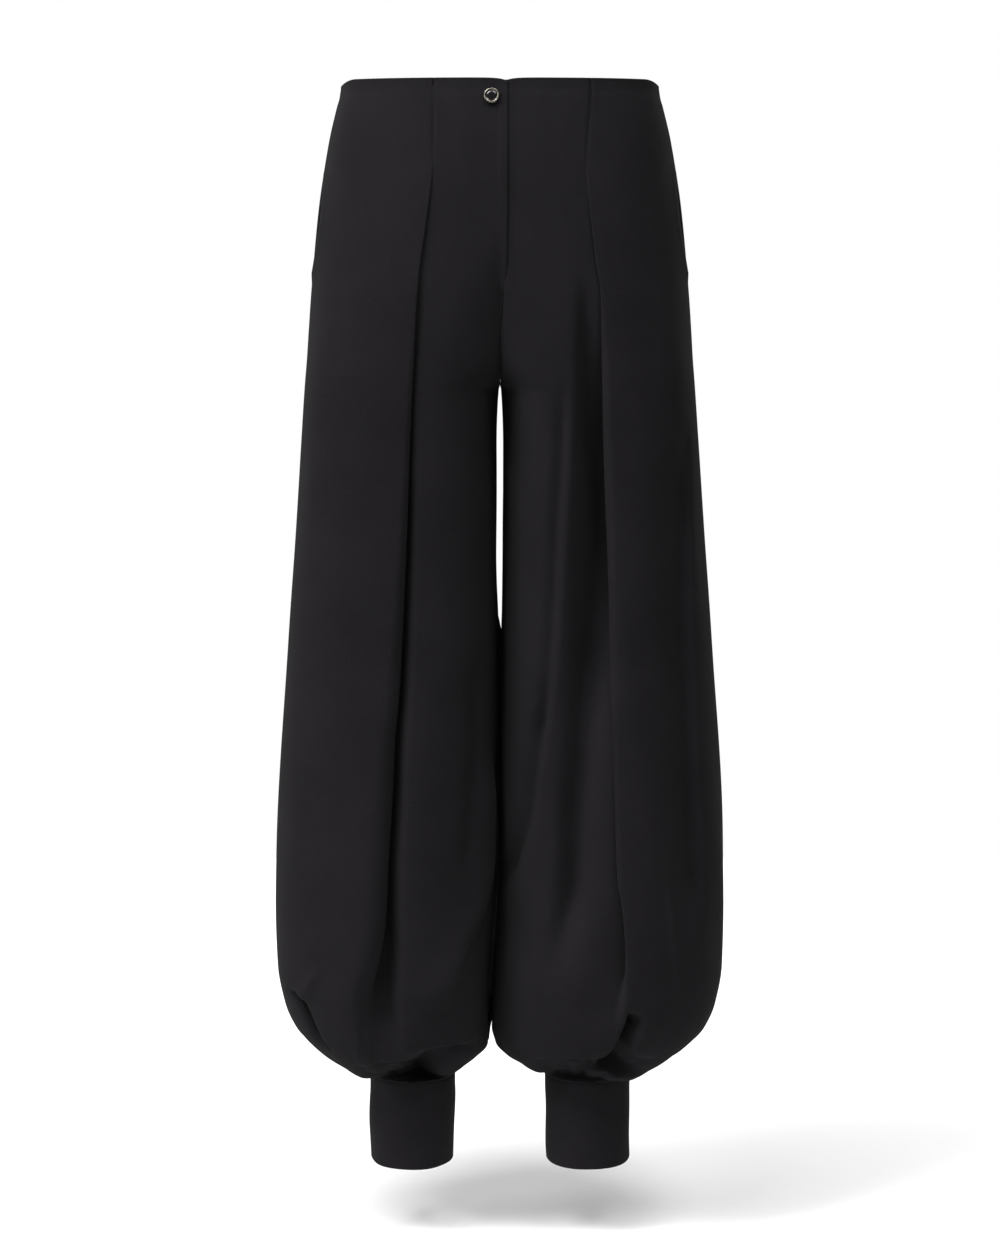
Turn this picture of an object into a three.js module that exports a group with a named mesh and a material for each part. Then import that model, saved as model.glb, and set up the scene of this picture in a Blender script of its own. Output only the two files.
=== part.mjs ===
// High-waisted harem trousers with balloon legs, in millimetres, worn and filled out with no wearer.
// +Z is up and the front faces -Y. The origin is the middle of the waist opening, at the waist edge.
// Right and left are the wearer's, so the right leg lies on -X.
// Each cloth panel is a thin closed wall, lofted through horizontal sections of the body and legs.
import * as THREE from "three";

// The cloth wall, the gap between pieces at a seam, the step from a cloth's middle to the middle of a
// piece behind it, and the gap behind the button
const CLOTH = 1.5;
const SEAM_GAP = 0.3;
const UNDER_STEP = CLOTH + 0.8;
const BUTTON_STAND_OFF = 0.6;

// Heights of the garment's landmarks
const WAIST_EDGE = 0;
const PLEAT_RELEASE = -80;
const FLY_END = -200;
const CROTCH = -300;
const CUFF_SEAM = -999;
const CUFF_EDGE = -1090;

// Sections of the outside, level by level: how far the side, front and back lie from the origin, and how
// far from the middle each half is deepest. A quarter's squareness is 2 where it is an ellipse, and more
// where it is flatter in front and behind.
const SECTIONS = [
  { z: 0, side: 156, crest: 0, front: 80, back: 82, sideSquare: 2.3, midSquare: 2.3 },
  { z: -20, side: 160.5, crest: 4, front: 84, back: 86, sideSquare: 2.3, midSquare: 2.3 },
  { z: -70, side: 170.5, crest: 15, front: 92, back: 98, sideSquare: 2.3, midSquare: 2.3 },
  { z: -120, side: 178.5, crest: 30, front: 97, back: 107, sideSquare: 2.35, midSquare: 2.35 },
  { z: -170, side: 184, crest: 48, front: 100, back: 112, sideSquare: 2.4, midSquare: 2.4 },
  { z: -215, side: 188, crest: 66, front: 101, back: 112, sideSquare: 2.5, midSquare: 2.6 },
  { z: -245, side: 190, crest: 77, front: 101, back: 110.5, sideSquare: 2.6, midSquare: 2.9 },
  { z: -270, side: 191.5, crest: 86, front: 100.5, back: 109, sideSquare: 2.7, midSquare: 3.2 },
  { z: -288, side: 193, crest: 93, front: 100, back: 107.5, sideSquare: 2.75, midSquare: 3.4 },
  { z: -300, side: 194, crest: 97, front: 99.5, back: 106.5, sideSquare: 2.75, midSquare: 3.4 },
  { z: -360, side: 198.5, crest: 101, front: 98, back: 103, sideSquare: 2.7, midSquare: 3.1 },
  { z: -460, side: 205.5, crest: 104, front: 96, back: 99, sideSquare: 2.6, midSquare: 2.8 },
  { z: -540, side: 212, crest: 107, front: 96, back: 99, sideSquare: 2.5, midSquare: 2.6 },
  { z: -660, side: 221, crest: 111, front: 98, back: 101, sideSquare: 2.4, midSquare: 2.5 },
  { z: -770, side: 227, crest: 114, front: 101, back: 104, sideSquare: 2.35, midSquare: 2.4 },
  { z: -830, side: 228.5, crest: 115, front: 102, back: 105, sideSquare: 2.3, midSquare: 2.3 },
  { z: -885, side: 227, crest: 115, front: 101, back: 104, sideSquare: 2.25, midSquare: 2.25 },
  { z: -925, side: 220, crest: 112, front: 95, back: 97, sideSquare: 2.15, midSquare: 2.15 },
  { z: -950, side: 209, crest: 106, front: 85, back: 88, sideSquare: 2.1, midSquare: 2.1 },
  { z: -966, side: 194, crest: 100, front: 72, back: 77, sideSquare: 2.05, midSquare: 2.05 },
  { z: -978, side: 174, crest: 96, front: 60, back: 66, sideSquare: 2, midSquare: 2 },
  { z: -988, side: 152, crest: 92, front: 52, back: 56, sideSquare: 2.05, midSquare: 2.05 },
  { z: -995, side: 138, crest: 90.5, front: 48.5, back: 50, sideSquare: 2.1, midSquare: 2.1 },
  { z: -999, side: 133.6, crest: 89.5, front: 46.7, back: 46.7, sideSquare: 2.15, midSquare: 2.15 },
];

// How far each leg's inside lies from the middle. Above the crotch each half is cut from an oval that
// reaches over the middle, and it draws in where the legs part.
const INSIDES = [
  { z: -170, right: -184, left: -184 },
  { z: -215, right: -170, left: -170 },
  { z: -245, right: -118, left: -118 },
  { z: -270, right: -66, left: -66 },
  { z: -288, right: -22, left: -22 },
  { z: -300, right: 0.9, left: 0.9 },
  { z: -360, right: 3.5, left: 3.5 },
  { z: -460, right: 3.2, left: 2.6 },
  { z: -540, right: 1, left: 0.8 },
  { z: -660, right: 2.2, left: -0.6 },
  { z: -770, right: 2.6, left: -1 },
  { z: -830, right: 5.4, left: -3.4 },
  { z: -885, right: 9.4, left: -7.2 },
  { z: -925, right: 10.8, left: -8.8 },
  { z: -950, right: 11.4, left: -8.4 },
  { z: -966, right: 12, left: -5 },
  { z: -978, right: 22, left: 8 },
  { z: -988, right: 36, left: 26 },
  { z: -995, right: 44, left: 41 },
  { z: -999, right: 45.4, left: 45.4 },
];

// Steps along a half section, spans over which a slope is measured, and the sharpest mitre at a seam
const SECTION_STEPS = 180;
const NORMAL_STEP = 2;
const SEAM_STEP = 3;
const MITRE_LIMIT = 0.3;

// Levels of the lofted walls: each stretch of the leg and how many steps it takes
const STRETCHES = [
  { to: PLEAT_RELEASE, steps: 2 },
  { to: -140, steps: 2 },
  { to: -203, steps: 3 },
  { to: -270, steps: 2 },
  { to: -288, steps: 2 },
  { to: -297, steps: 2 },
  { to: CROTCH, steps: 1 },
  { to: -780, steps: 4 },
  { to: -900, steps: 3 },
  { to: -960, steps: 3 },
  { to: CUFF_SEAM, steps: 5 },
];

// The centre front edge lies off the middle as far down as the fly, then runs to the middle.
const CENTRE_FRONT = [
  { z: WAIST_EDGE, x: 5 },
  { z: FLY_END, x: 4 },
  { z: -270, x: 0 },
  { z: CROTCH, x: 0 },
];

// The side seam runs a little forward of the widest point. The front's edge stands further forward
// of it along the pocket mouth.
const SIDE_SEAM_FORWARD = 18;
const POCKET_MOUTH = [
  { z: -72, setback: 0 },
  { z: -90, setback: 6 },
  { z: -110, setback: 14 },
  { z: -140, setback: 18 },
  { z: -175, setback: 12 },
  { z: -203, setback: 0 },
];

// The front pleat of each leg, stitched down to the release and then folded towards the middle. The
// fold turns by an angle at each edge, with a bend radius, and hides a width of cloth between them.
const PLEAT_LINE = {
  right: [
    { z: 0, x: -61.5 },
    { z: -80, x: -63.5 },
    { z: -163, x: -76 },
    { z: -211, x: -82 },
    { z: -292, x: -86 },
    { z: -500, x: -96 },
    { z: -700, x: -106 },
    { z: -800, x: -112 },
    { z: -860, x: -121 },
    { z: -920, x: -131 },
    { z: -999, x: -116 },
  ],
  left: [
    { z: 0, x: 84.5 },
    { z: -80, x: 83.5 },
    { z: -163, x: 92.5 },
    { z: -211, x: 96.5 },
    { z: -292, x: 101 },
    { z: -450, x: 108 },
    { z: -650, x: 113.5 },
    { z: -750, x: 116 },
    { z: -840, x: 121 },
    { z: -920, x: 118 },
    { z: -999, x: 104 },
  ],
};
const PLEAT_FOLD = [
  { z: 0, turn: 20, bend: 3, hidden: 1 },
  { z: PLEAT_RELEASE, turn: 24, bend: 3, hidden: 1 },
  { z: -95, turn: 80, bend: 1.6, hidden: 1.5 },
  { z: -115, turn: 150, bend: 1.5, hidden: 4 },
  { z: -140, turn: 178, bend: 1.5, hidden: 8 },
  { z: -300, turn: 178, bend: 1.5, hidden: 15 },
  { z: -700, turn: 178, bend: 1.5, hidden: 13 },
  { z: -790, turn: 165, bend: 1.6, hidden: 9 },
  { z: -840, turn: 110, bend: 2.5, hidden: 5 },
  { z: -890, turn: 55, bend: 7, hidden: 4 },
  { z: -935, turn: 22, bend: 22, hidden: 4 },
  { z: -999, turn: 6, bend: 70, hidden: 4 },
];
const PLEAT_STEPS = { bend: 3, hidden: 1 };

// The cloth under a pleat's fold lies in by a share of the fold's height and the cloth over it stands
// out by the rest, and each eases back to the smooth surface over a reach.
const PLEAT_SEAT = { inShare: 0.65, inReach: 45, outReach: 60 };

// Soft folds in the cloth: where each starts, passes and ends, how wide it is from its middle to where
// it dies away, and how deep. Each fades in from its top and out at its foot.
const FOLDS = {
  front: [
    { leg: "right", z1: -600, x1: -36, z2: -700, x2: -35, z3: -790, x3: -32, width: 15, depth: 4 },
    { leg: "right", z1: -905, x1: -212, z2: -945, x2: -199, z3: -985, x3: -160, width: 10, depth: 9 },
    { leg: "left", z1: -190, x1: 84, z2: -520, x2: 79, z3: -880, x3: 55, width: 13, depth: 7 },
    { leg: "left", z1: -350, x1: 62, z2: -690, x2: 31, z3: -880, x3: 6, width: 8, depth: 4 },
    { leg: "left", z1: -350, x1: 200, z2: -640, x2: 210, z3: -830, x3: 219, width: 9, depth: 5 },
    { leg: "left", z1: -930, x1: 126, z2: -960, x2: 122, z3: -992, x3: 112, width: 11, depth: 11 },
  ],
  back: [
    { leg: "right", z1: -260, x1: -82, z2: -560, x2: -90, z3: -900, x3: -104, width: 16, depth: 8 },
    { leg: "right", z1: -480, x1: -150, z2: -700, x2: -162, z3: -930, x3: -150, width: 14, depth: 6 },
    { leg: "right", z1: -620, x1: -44, z2: -780, x2: -50, z3: -940, x3: -66, width: 13, depth: 5 },
    { leg: "left", z1: -250, x1: 88, z2: -600, x2: 97, z3: -910, x3: 112, width: 15, depth: 8 },
    { leg: "left", z1: -540, x1: 40, z2: -740, x2: 48, z3: -935, x3: 70, width: 14, depth: 6 },
    { leg: "left", z1: -430, x1: 158, z2: -660, x2: 168, z3: -900, x3: 160, width: 14, depth: 5 },
  ],
};
const FOLD_FADE = { top: 70, foot: 42 };

// Gathers where each leg is drawn in to its cuff. Each panel has a number of waves, which rise from a
// start to their full height and are pressed to a share of it at the seam.
const GATHERS = {
  waves: 6,
  start: -925,
  full: -986,
  height: 3.2,
  seamShare: 0.2,
  drift: { size: 0.35, turns: 11 },
  uneven: { size: 0.3, turns: 17 },
};

// Darts at the back waist, stitched flat
const DART = { x: 74, drop: 118, width: 2.2, depth: 0.7 };

// Panel widths in steps
const FRONT_STEPS = { inner: 11, outer: 13 };
const BACK_STEPS = 26;

// Above the crotch each panel is narrower than the leg below. Its columns crowd towards the middle
// over this stretch, so that the others run down evenly.
const CROWDING = { from: -150, power: 3, most: 1.45 };

// Cuffs: plain bands of doubled cloth
const CUFF = {
  wall: 2.2,
  top: { out: 133.3, inner: 45.6, depth: 46.5 },
  edge: { out: 133.5, inner: 47.8, depth: 46 },
  squareness: 2.15,
  around: 26,
  up: 2,
};

// Fly shield behind the fly, sewn to the left front and reaching under the right front
const FLY_SHIELD = { fromX: -32, toX: 14, top: -1.5, foot: FLY_END + 4, across: 6, up: 7 };

// Pocket facing, which shows in each pocket mouth
const FACING = { forward: 28, behind: 10, top: -64, foot: -214, across: 7, up: 7 };

// Button at the waist: a rim with rounded edges round a slightly domed face
const BUTTON = {
  x: -8,
  z: -17,
  radius: 7.4,
  rim: 1.7,
  rimHeight: 2.6,
  bevel: 0.5,
  faceHeight: 1.5,
  dome: 0.3,
  sides: 28,
};

const LEGS = {
  right: { name: "right", sign: -1 },
  left: { name: "left", sign: 1 },
};

const CLOTH_LOOK = { color: 0x29272a, roughness: 0.86, metalness: 0 };
const METAL_LOOK = { color: 0x8f8b80, roughness: 0.3, metalness: 1 };
const ENAMEL_LOOK = { color: 0x0b0b0b, roughness: 0.25, metalness: 0 };

const degrees = (angle) => (angle * Math.PI) / 180;
const between = (from, to, share) => from + (to - from) * share;
const signedPower = (value, power) => Math.sign(value) * Math.abs(value) ** power;

// 0 before from, 1 after to, and a smooth rise between them
function rise(value, from, to) {
  const share = THREE.MathUtils.clamp((value - from) / (to - from), 0, 1);
  return share * share * (3 - 2 * share);
}

// The slope of a table's column at one row: level where the column turns
function slopeAt(table, key, row) {
  if (row === 0 || row === table.length - 1) return 0;
  const [before, here, after] = [table[row - 1], table[row], table[row + 1]];
  const up = (here[key] - before[key]) / (here.z - before.z);
  const down = (after[key] - here[key]) / (after.z - here.z);
  return up * down <= 0 ? 0 : (2 * up * down) / (up + down);
}

// A table's column at a height: a smooth curve through its rows that never overshoots them
function columnAt(table, key, z) {
  const last = table.length - 1;
  if (z >= table[0].z) return table[0][key];
  if (z <= table[last].z) return table[last][key];
  const row = table.findIndex((r) => r.z < z) - 1;
  const [a, b] = [table[row], table[row + 1]];
  const span = b.z - a.z;
  const t = (z - a.z) / span;
  const [t2, t3] = [t * t, t * t * t];
  return (
    (2 * t3 - 3 * t2 + 1) * a[key] +
    (t3 - 2 * t2 + t) * span * slopeAt(table, key, row) +
    (3 * t2 - 2 * t3) * b[key] +
    (t3 - t2) * span * slopeAt(table, key, row + 1)
  );
}

// One leg's half of the cloth's middle at one height, as a line from the centre front round the side
// to the centre back, in millimetres along it
function sectionAt(leg, z) {
  const half = CLOTH / 2;
  const out = columnAt(SECTIONS, "side", z) - half;
  const inner = columnAt(INSIDES, leg.name, z) + half;
  const front = columnAt(SECTIONS, "front", z) - half;
  const back = columnAt(SECTIONS, "back", z) - half;
  const crest = columnAt(SECTIONS, "crest", z);
  const quarters = {
    middle: { reach: crest - inner, square: columnAt(SECTIONS, "midSquare", z) },
    side: { reach: out - crest, square: columnAt(SECTIONS, "sideSquare", z) },
  };
  const angleAt = (x) => {
    const { reach, square } = quarters.middle;
    return Math.acos(signedPower(THREE.MathUtils.clamp((crest - x) / reach, -1, 1), square / 2));
  };
  const parted = z <= CROTCH;
  const first = parted ? 0 : angleAt(leg.sign * columnAt(CENTRE_FRONT, "x", z));
  const last = 2 * Math.PI - (parted ? 0 : angleAt(0));
  const points = [];
  const widest = SECTION_STEPS / 2;
  for (let i = 0; i <= SECTION_STEPS; i++) {
    const angle = i < widest ? between(first, Math.PI, i / widest) : between(Math.PI, last, i / widest - 1);
    const { reach, square } = Math.cos(angle) > 0 ? quarters.middle : quarters.side;
    const across = signedPower(Math.cos(angle), 2 / square);
    const along = signedPower(Math.sin(angle), 2 / square);
    points.push(new THREE.Vector2(crest - reach * across, along > 0 ? -front * along : -back * along));
  }
  const lengths = [0];
  for (let i = 1; i < points.length; i++) lengths.push(lengths[i - 1] + points[i].distanceTo(points[i - 1]));
  return { points, lengths, widest, total: lengths[SECTION_STEPS], side: lengths[widest] };
}

// The point of a section at a length along it
function pointOn(section, length) {
  const { points, lengths } = section;
  const s = THREE.MathUtils.clamp(length, 0, section.total);
  let i = lengths.findIndex((l) => l > s);
  if (i < 0) i = lengths.length - 1;
  const share = (s - lengths[i - 1]) / (lengths[i] - lengths[i - 1] || 1);
  return points[i - 1].clone().lerp(points[i], share);
}

// The length along a section at which its front or back lies at a given x
function lengthAtX(section, x, face) {
  const { points, lengths, widest } = section;
  const [start, end] = face === "front" ? [0, widest] : [points.length - 1, widest];
  const step = Math.sign(end - start);
  if (x <= points[start].x) return lengths[start];
  for (let i = start; i !== end; i += step) {
    const [here, next] = [points[i].x, points[i + step].x];
    if (x < next) return between(lengths[i], lengths[i + step], (x - here) / (next - here));
  }
  return lengths[end];
}

// A leg's smooth surface, before folds: the point, and the outward normal, at a height and at a length
// behind the widest point. In front of it the length is negative.
function smoothPoint(leg, z, behind) {
  const section = sectionAt(leg, z);
  const p = pointOn(section, section.side + behind);
  return new THREE.Vector3(leg.sign * p.x, p.y, z);
}

function smoothNormal(leg, z, behind) {
  const up = smoothPoint(leg, Math.min(z + NORMAL_STEP, WAIST_EDGE), behind)
    .sub(smoothPoint(leg, Math.max(z - NORMAL_STEP, CUFF_SEAM), behind));
  const along = smoothPoint(leg, z, behind + NORMAL_STEP).sub(smoothPoint(leg, z, behind - NORMAL_STEP));
  return along.cross(up).multiplyScalar(leg.sign).normalize();
}

// How far the soft folds, darts and gathers push the cloth out at a height and length
function reliefAt(leg, section, z, length) {
  let offset = 0;
  for (const [face, folds] of Object.entries(FOLDS))
    for (const fold of folds) {
      if (fold.leg !== leg.name || z > fold.z1 || z < fold.z3) continue;
      const path = [1, 2, 3].map((n) => ({ z: fold["z" + n], x: fold["x" + n] }));
      const centre = lengthAtX(section, leg.sign * columnAt(path, "x", z), face);
      const half = (fold.z1 - fold.z3) / 2;
      const begun = rise(-z, -fold.z1, -fold.z1 + Math.min(FOLD_FADE.top, half));
      const left = rise(z, fold.z3, fold.z3 + Math.min(FOLD_FADE.foot, half));
      offset -= fold.depth * begun * left * Math.exp(-(((length - centre) / fold.width) ** 2));
    }
  if (z > -DART.drop) {
    const dart = lengthAtX(section, DART.x, "back");
    offset -= DART.depth * Math.exp(-(((length - dart) / DART.width) ** 2));
  }
  const share = length / section.total;
  const { waves, drift, uneven } = GATHERS;
  const wave = 4 * Math.PI * waves * share + drift.size * Math.sin(drift.turns * share + leg.sign);
  const size = GATHERS.height * (1 + uneven.size * Math.sin(uneven.turns * share + 2 * leg.sign));
  const pressed = between(1, GATHERS.seamShare, rise(-z, -GATHERS.full, -CUFF_SEAM));
  return offset + size * pressed * rise(-z, -GATHERS.start, -GATHERS.full) * Math.sin(wave);
}

// The pleat's fold in plain section, from the cloth that runs in under it to the cloth on top: how far
// each point lies along the cloth from the fold's edge, and how deep
function pleatFold(z) {
  const turn = degrees(columnAt(PLEAT_FOLD, "turn", z));
  const bend = columnAt(PLEAT_FOLD, "bend", z);
  const hidden = columnAt(PLEAT_FOLD, "hidden", z);
  const line = [];
  let [along, depth] = [0, 0];
  for (let i = 0; i <= PLEAT_STEPS.bend; i++) {
    const angle = (turn * i) / PLEAT_STEPS.bend;
    line.push({ along: bend * Math.sin(angle), depth: bend * (1 - Math.cos(angle)) });
  }
  for (let i = 1; i <= PLEAT_STEPS.hidden; i++) {
    const reached = (hidden * i) / PLEAT_STEPS.hidden;
    along = bend * Math.sin(turn) + reached * Math.cos(turn);
    depth = bend * (1 - Math.cos(turn)) + reached * Math.sin(turn);
    line.push({ along, depth });
  }
  for (let i = 1; i <= PLEAT_STEPS.bend; i++) {
    const angle = turn - (turn * i) / PLEAT_STEPS.bend;
    line.push({
      along: along + bend * (Math.sin(turn) - Math.sin(angle)),
      depth: depth + bend * (Math.cos(angle) - Math.cos(turn)),
    });
  }
  const end = line[line.length - 1];
  const edge = end.along - bend * Math.sin(Math.min(turn, Math.PI / 2));
  const placed = line.map((p) => ({ along: p.along - edge, depth: p.depth - end.depth }));
  return { height: end.depth, line: placed };
}

// Where a column lies between a panel's outer part, at share 0, and its seam at the middle, at share 1
function crowded(share, span, spanAtCrotch, z) {
  const wanted = between(span, spanAtCrotch, rise(-z, -CROWDING.from, -CROTCH));
  const even = z > CROTCH ? Math.min(wanted, span * CROWDING.most) : span;
  return share * even + (span - even) * share ** CROWDING.power;
}

// The lengths along a section of a pleat's fold edge and of the cloth under and over it
function pleatPlace(leg, section, z) {
  const edge = lengthAtX(section, leg.sign * columnAt(PLEAT_LINE[leg.name], "x", z), "front");
  const fold = pleatFold(z);
  const { line } = fold;
  return { edge, fold, under: edge + line[0].along, over: edge + line[line.length - 1].along };
}

// How deep a pleat draws in the cloth between it and the centre front
function recessAt({ fold, under }, length) {
  return -PLEAT_SEAT.inShare * fold.height * rise(length, under - PLEAT_SEAT.inReach, under);
}

// The lengths along a section, and the extra depth, of each column of a front panel
function frontColumns(leg, section, z) {
  const place = pleatPlace(leg, section, z);
  const { edge, fold, under, over } = place;
  const spanAtCrotch = pleatPlace(leg, sectionAt(leg, CROTCH), CROTCH).under - SEAM_GAP / 2;
  const setback = SIDE_SEAM_FORWARD + columnAt(POCKET_MOUTH, "setback", z);
  const [first, last] = [SEAM_GAP / 2, section.side - setback - SEAM_GAP / 2];
  const lift = (1 - PLEAT_SEAT.inShare) * fold.height;
  const columns = [];
  for (let i = 0; i < FRONT_STEPS.inner; i++) {
    const length = under - crowded(1 - i / FRONT_STEPS.inner, under - first, spanAtCrotch, z);
    columns.push({ length, extra: recessAt(place, length) });
  }
  for (const p of fold.line) columns.push({ length: edge + p.along, extra: p.depth + lift });
  for (let i = 1; i <= FRONT_STEPS.outer; i++) {
    const length = between(over, last, i / FRONT_STEPS.outer);
    columns.push({ length, extra: lift * (1 - rise(length, over, over + PLEAT_SEAT.outReach)) });
  }
  return columns;
}

function backColumns(leg, section, z) {
  const spanOf = (s) => s.total - s.side + SIDE_SEAM_FORWARD - SEAM_GAP;
  const first = section.side - SIDE_SEAM_FORWARD + SEAM_GAP / 2;
  const spanAtCrotch = spanOf(sectionAt(leg, CROTCH));
  return Array.from({ length: BACK_STEPS + 1 }, (_, i) => ({
    length: first + crowded(i / BACK_STEPS, spanOf(section), spanAtCrotch, z),
    extra: 0,
  }));
}

// A row of points on a leg's cloth at one height, which stays on its own side of the middle
function clothRow(leg, z, columnsOf) {
  const section = sectionAt(leg, z);
  const edge = leg.sign * columnAt(CENTRE_FRONT, "x", z);
  return columnsOf(leg, section, z).map(({ length, extra }) => {
    const behind = length - section.side;
    const offset = extra + reliefAt(leg, section, z, length);
    const point = smoothPoint(leg, z, behind).addScaledVector(smoothNormal(leg, z, behind), offset);
    const nearest = (behind < 0 ? edge : 0) + SEAM_GAP / 2;
    if (z > CROTCH) point.x = leg.sign * Math.max(leg.sign * point.x, nearest);
    if (z === WAIST_EDGE || z === CUFF_SEAM) point.z = z;
    return point;
  });
}

function levels() {
  const heights = [WAIST_EDGE];
  for (const { to, steps } of STRETCHES) {
    const from = heights[heights.length - 1];
    for (let i = 1; i <= steps; i++) heights.push(between(from, to, i / steps));
  }
  return heights;
}

// The outward normal at each point of a grid of rows, from its neighbours
function gridNormals(rows, sign, around = false) {
  return rows.map((row, r) =>
    row.map((_, c) => {
      const { length } = row;
      const next = around ? (c + 1) % length : Math.min(c + 1, length - 1);
      const previous = around ? (c - 1 + length) % length : Math.max(c - 1, 0);
      const along = row[next].clone().sub(row[previous]);
      const up = rows[Math.max(r - 1, 0)][c].clone().sub(rows[Math.min(r + 1, rows.length - 1)][c]);
      return along.cross(up).multiplyScalar(sign).normalize();
    }),
  );
}

// A normal turned into the plane that cuts a wall off, and lengthened to keep the wall's thickness
function mitred(normal, across) {
  const flat = normal.clone().addScaledVector(across, -normal.dot(across));
  return flat.divideScalar(Math.max(flat.lengthSq(), MITRE_LIMIT));
}

// The direction across the seam at a panel's first or last column, the same for both panels there
function seamAcross(leg, z, columnsOf, side) {
  if (side === "inner") return z > CROTCH ? new THREE.Vector3(1, 0, 0) : new THREE.Vector3(0, 1, 0);
  const section = sectionAt(leg, z);
  const columns = columnsOf(leg, section, z);
  const { length } = columnsOf === frontColumns ? columns[columns.length - 1] : columns[0];
  const [a, b] = [pointOn(section, length - SEAM_STEP), pointOn(section, length + SEAM_STEP)];
  return new THREE.Vector3(leg.sign * (b.x - a.x), b.y - a.y, 0).normalize();
}

// A closed wall of a thickness round a grid of rows, which run from the top down
function wall(rows, sign, thickness, around = false, seams = []) {
  const normals = gridNormals(rows, sign, around);
  seams.forEach(({ first, last }, r) => {
    const row = normals[r];
    row[0] = mitred(row[0], first);
    row[row.length - 1] = mitred(row[row.length - 1], last);
  });
  const level = new THREE.Vector3(0, 0, 1);
  for (const row of [normals[0], normals[normals.length - 1]])
    row.forEach((n, c) => (row[c] = mitred(n, level)));
  const moved = (p, r, c, by) => p.clone().addScaledVector(normals[r][c], by);
  const shifted = (by) => rows.map((row, r) => row.map((p, c) => moved(p, r, c, by)));
  const [outside, inside] = [shifted(thickness / 2), shifted(-thickness / 2)];
  const [height, width] = [rows.length, rows[0].length];
  const positions = [...outside.flat(), ...inside.flat()].flatMap((p) => p.toArray());
  const at = (layer, r, c) => layer * height * width + r * width + (c % width);
  const indices = [];
  const quad = (a, b, c, d) =>
    sign > 0 ? indices.push(a, b, c, a, c, d) : indices.push(a, c, b, a, d, c);
  const spans = around ? width : width - 1;
  for (let r = 0; r < height - 1; r++)
    for (let c = 0; c < spans; c++) {
      quad(at(0, r, c), at(0, r + 1, c), at(0, r + 1, c + 1), at(0, r, c + 1));
      quad(at(1, r, c), at(1, r, c + 1), at(1, r + 1, c + 1), at(1, r + 1, c));
    }
  for (let c = 0; c < spans; c++) {
    quad(at(0, 0, c), at(0, 0, c + 1), at(1, 0, c + 1), at(1, 0, c));
    quad(at(0, height - 1, c), at(1, height - 1, c), at(1, height - 1, c + 1), at(0, height - 1, c + 1));
  }
  if (!around)
    for (let r = 0; r < height - 1; r++) {
      quad(at(0, r, 0), at(1, r, 0), at(1, r + 1, 0), at(0, r + 1, 0));
      quad(at(0, r, width - 1), at(0, r + 1, width - 1), at(1, r + 1, width - 1), at(1, r, width - 1));
    }
  return new THREE.BufferGeometry()
    .setAttribute("position", new THREE.Float32BufferAttribute(positions, 3))
    .setIndex(indices);
}

function piece(name, geometry, look) {
  geometry.computeVertexNormals();
  const material = new THREE.MeshStandardMaterial({ ...look, side: THREE.DoubleSide });
  const mesh = new THREE.Mesh(geometry, material);
  mesh.name = name;
  return mesh;
}

// The front or back panel of a leg, with its seams cut to meet their neighbours
function panel(leg, face, columnsOf) {
  const [first, last] = face === "front" ? ["inner", "outer"] : ["outer", "inner"];
  const heights = levels();
  const rows = heights.map((z) => clothRow(leg, z, columnsOf));
  const seams = heights.map((z) => ({
    first: seamAcross(leg, z, columnsOf, first),
    last: seamAcross(leg, z, columnsOf, last),
  }));
  return piece(face + "_" + leg.name, wall(rows, leg.sign, CLOTH, false, seams), CLOTH_LOOK);
}

// A cuff's ring of points at a share of the way down it
function cuffRow(leg, share) {
  const size = (key) => between(CUFF.top[key], CUFF.edge[key], share);
  const middle = (size("out") + size("inner")) / 2;
  const reach = (size("out") - size("inner") - CUFF.wall) / 2;
  const depth = size("depth") - CUFF.wall / 2;
  const z = between(CUFF_SEAM - SEAM_GAP, CUFF_EDGE, share);
  return Array.from({ length: CUFF.around }, (_, i) => {
    const angle = (2 * Math.PI * i) / CUFF.around;
    const across = signedPower(Math.cos(angle), 2 / CUFF.squareness);
    const along = signedPower(Math.sin(angle), 2 / CUFF.squareness);
    return new THREE.Vector3(leg.sign * (middle - reach * across), -depth * along, z);
  });
}

function cuff(leg) {
  const rows = Array.from({ length: CUFF.up + 1 }, (_, i) => cuffRow(leg, i / CUFF.up));
  return piece("cuff_" + leg.name, wall(rows, leg.sign, CUFF.wall, true), CLOTH_LOOK);
}

// Evenly spaced heights from a top to a foot
function evenly(top, foot, steps) {
  return Array.from({ length: steps + 1 }, (_, i) => between(top, foot, i / steps));
}

function flyShield() {
  const { fromX, toX, top, foot, across, up } = FLY_SHIELD;
  const rows = evenly(top, foot, up).map((z) => {
    const row = [];
    for (let i = 0; i <= across; i++) {
      const x = between(fromX, toX, i / across);
      const onRight = x < columnAt(CENTRE_FRONT, "x", z);
      const leg = onRight ? LEGS.right : LEGS.left;
      const section = sectionAt(leg, z);
      const length = lengthAtX(section, leg.sign * x, "front");
      const extra = recessAt(pleatPlace(leg, section, z), length) - UNDER_STEP;
      const columns = () => [{ length, extra }];
      row.push(clothRow(leg, z, columns)[0]);
    }
    return row;
  });
  return piece("fly_shield", wall(rows, 1, CLOTH), CLOTH_LOOK);
}

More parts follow.
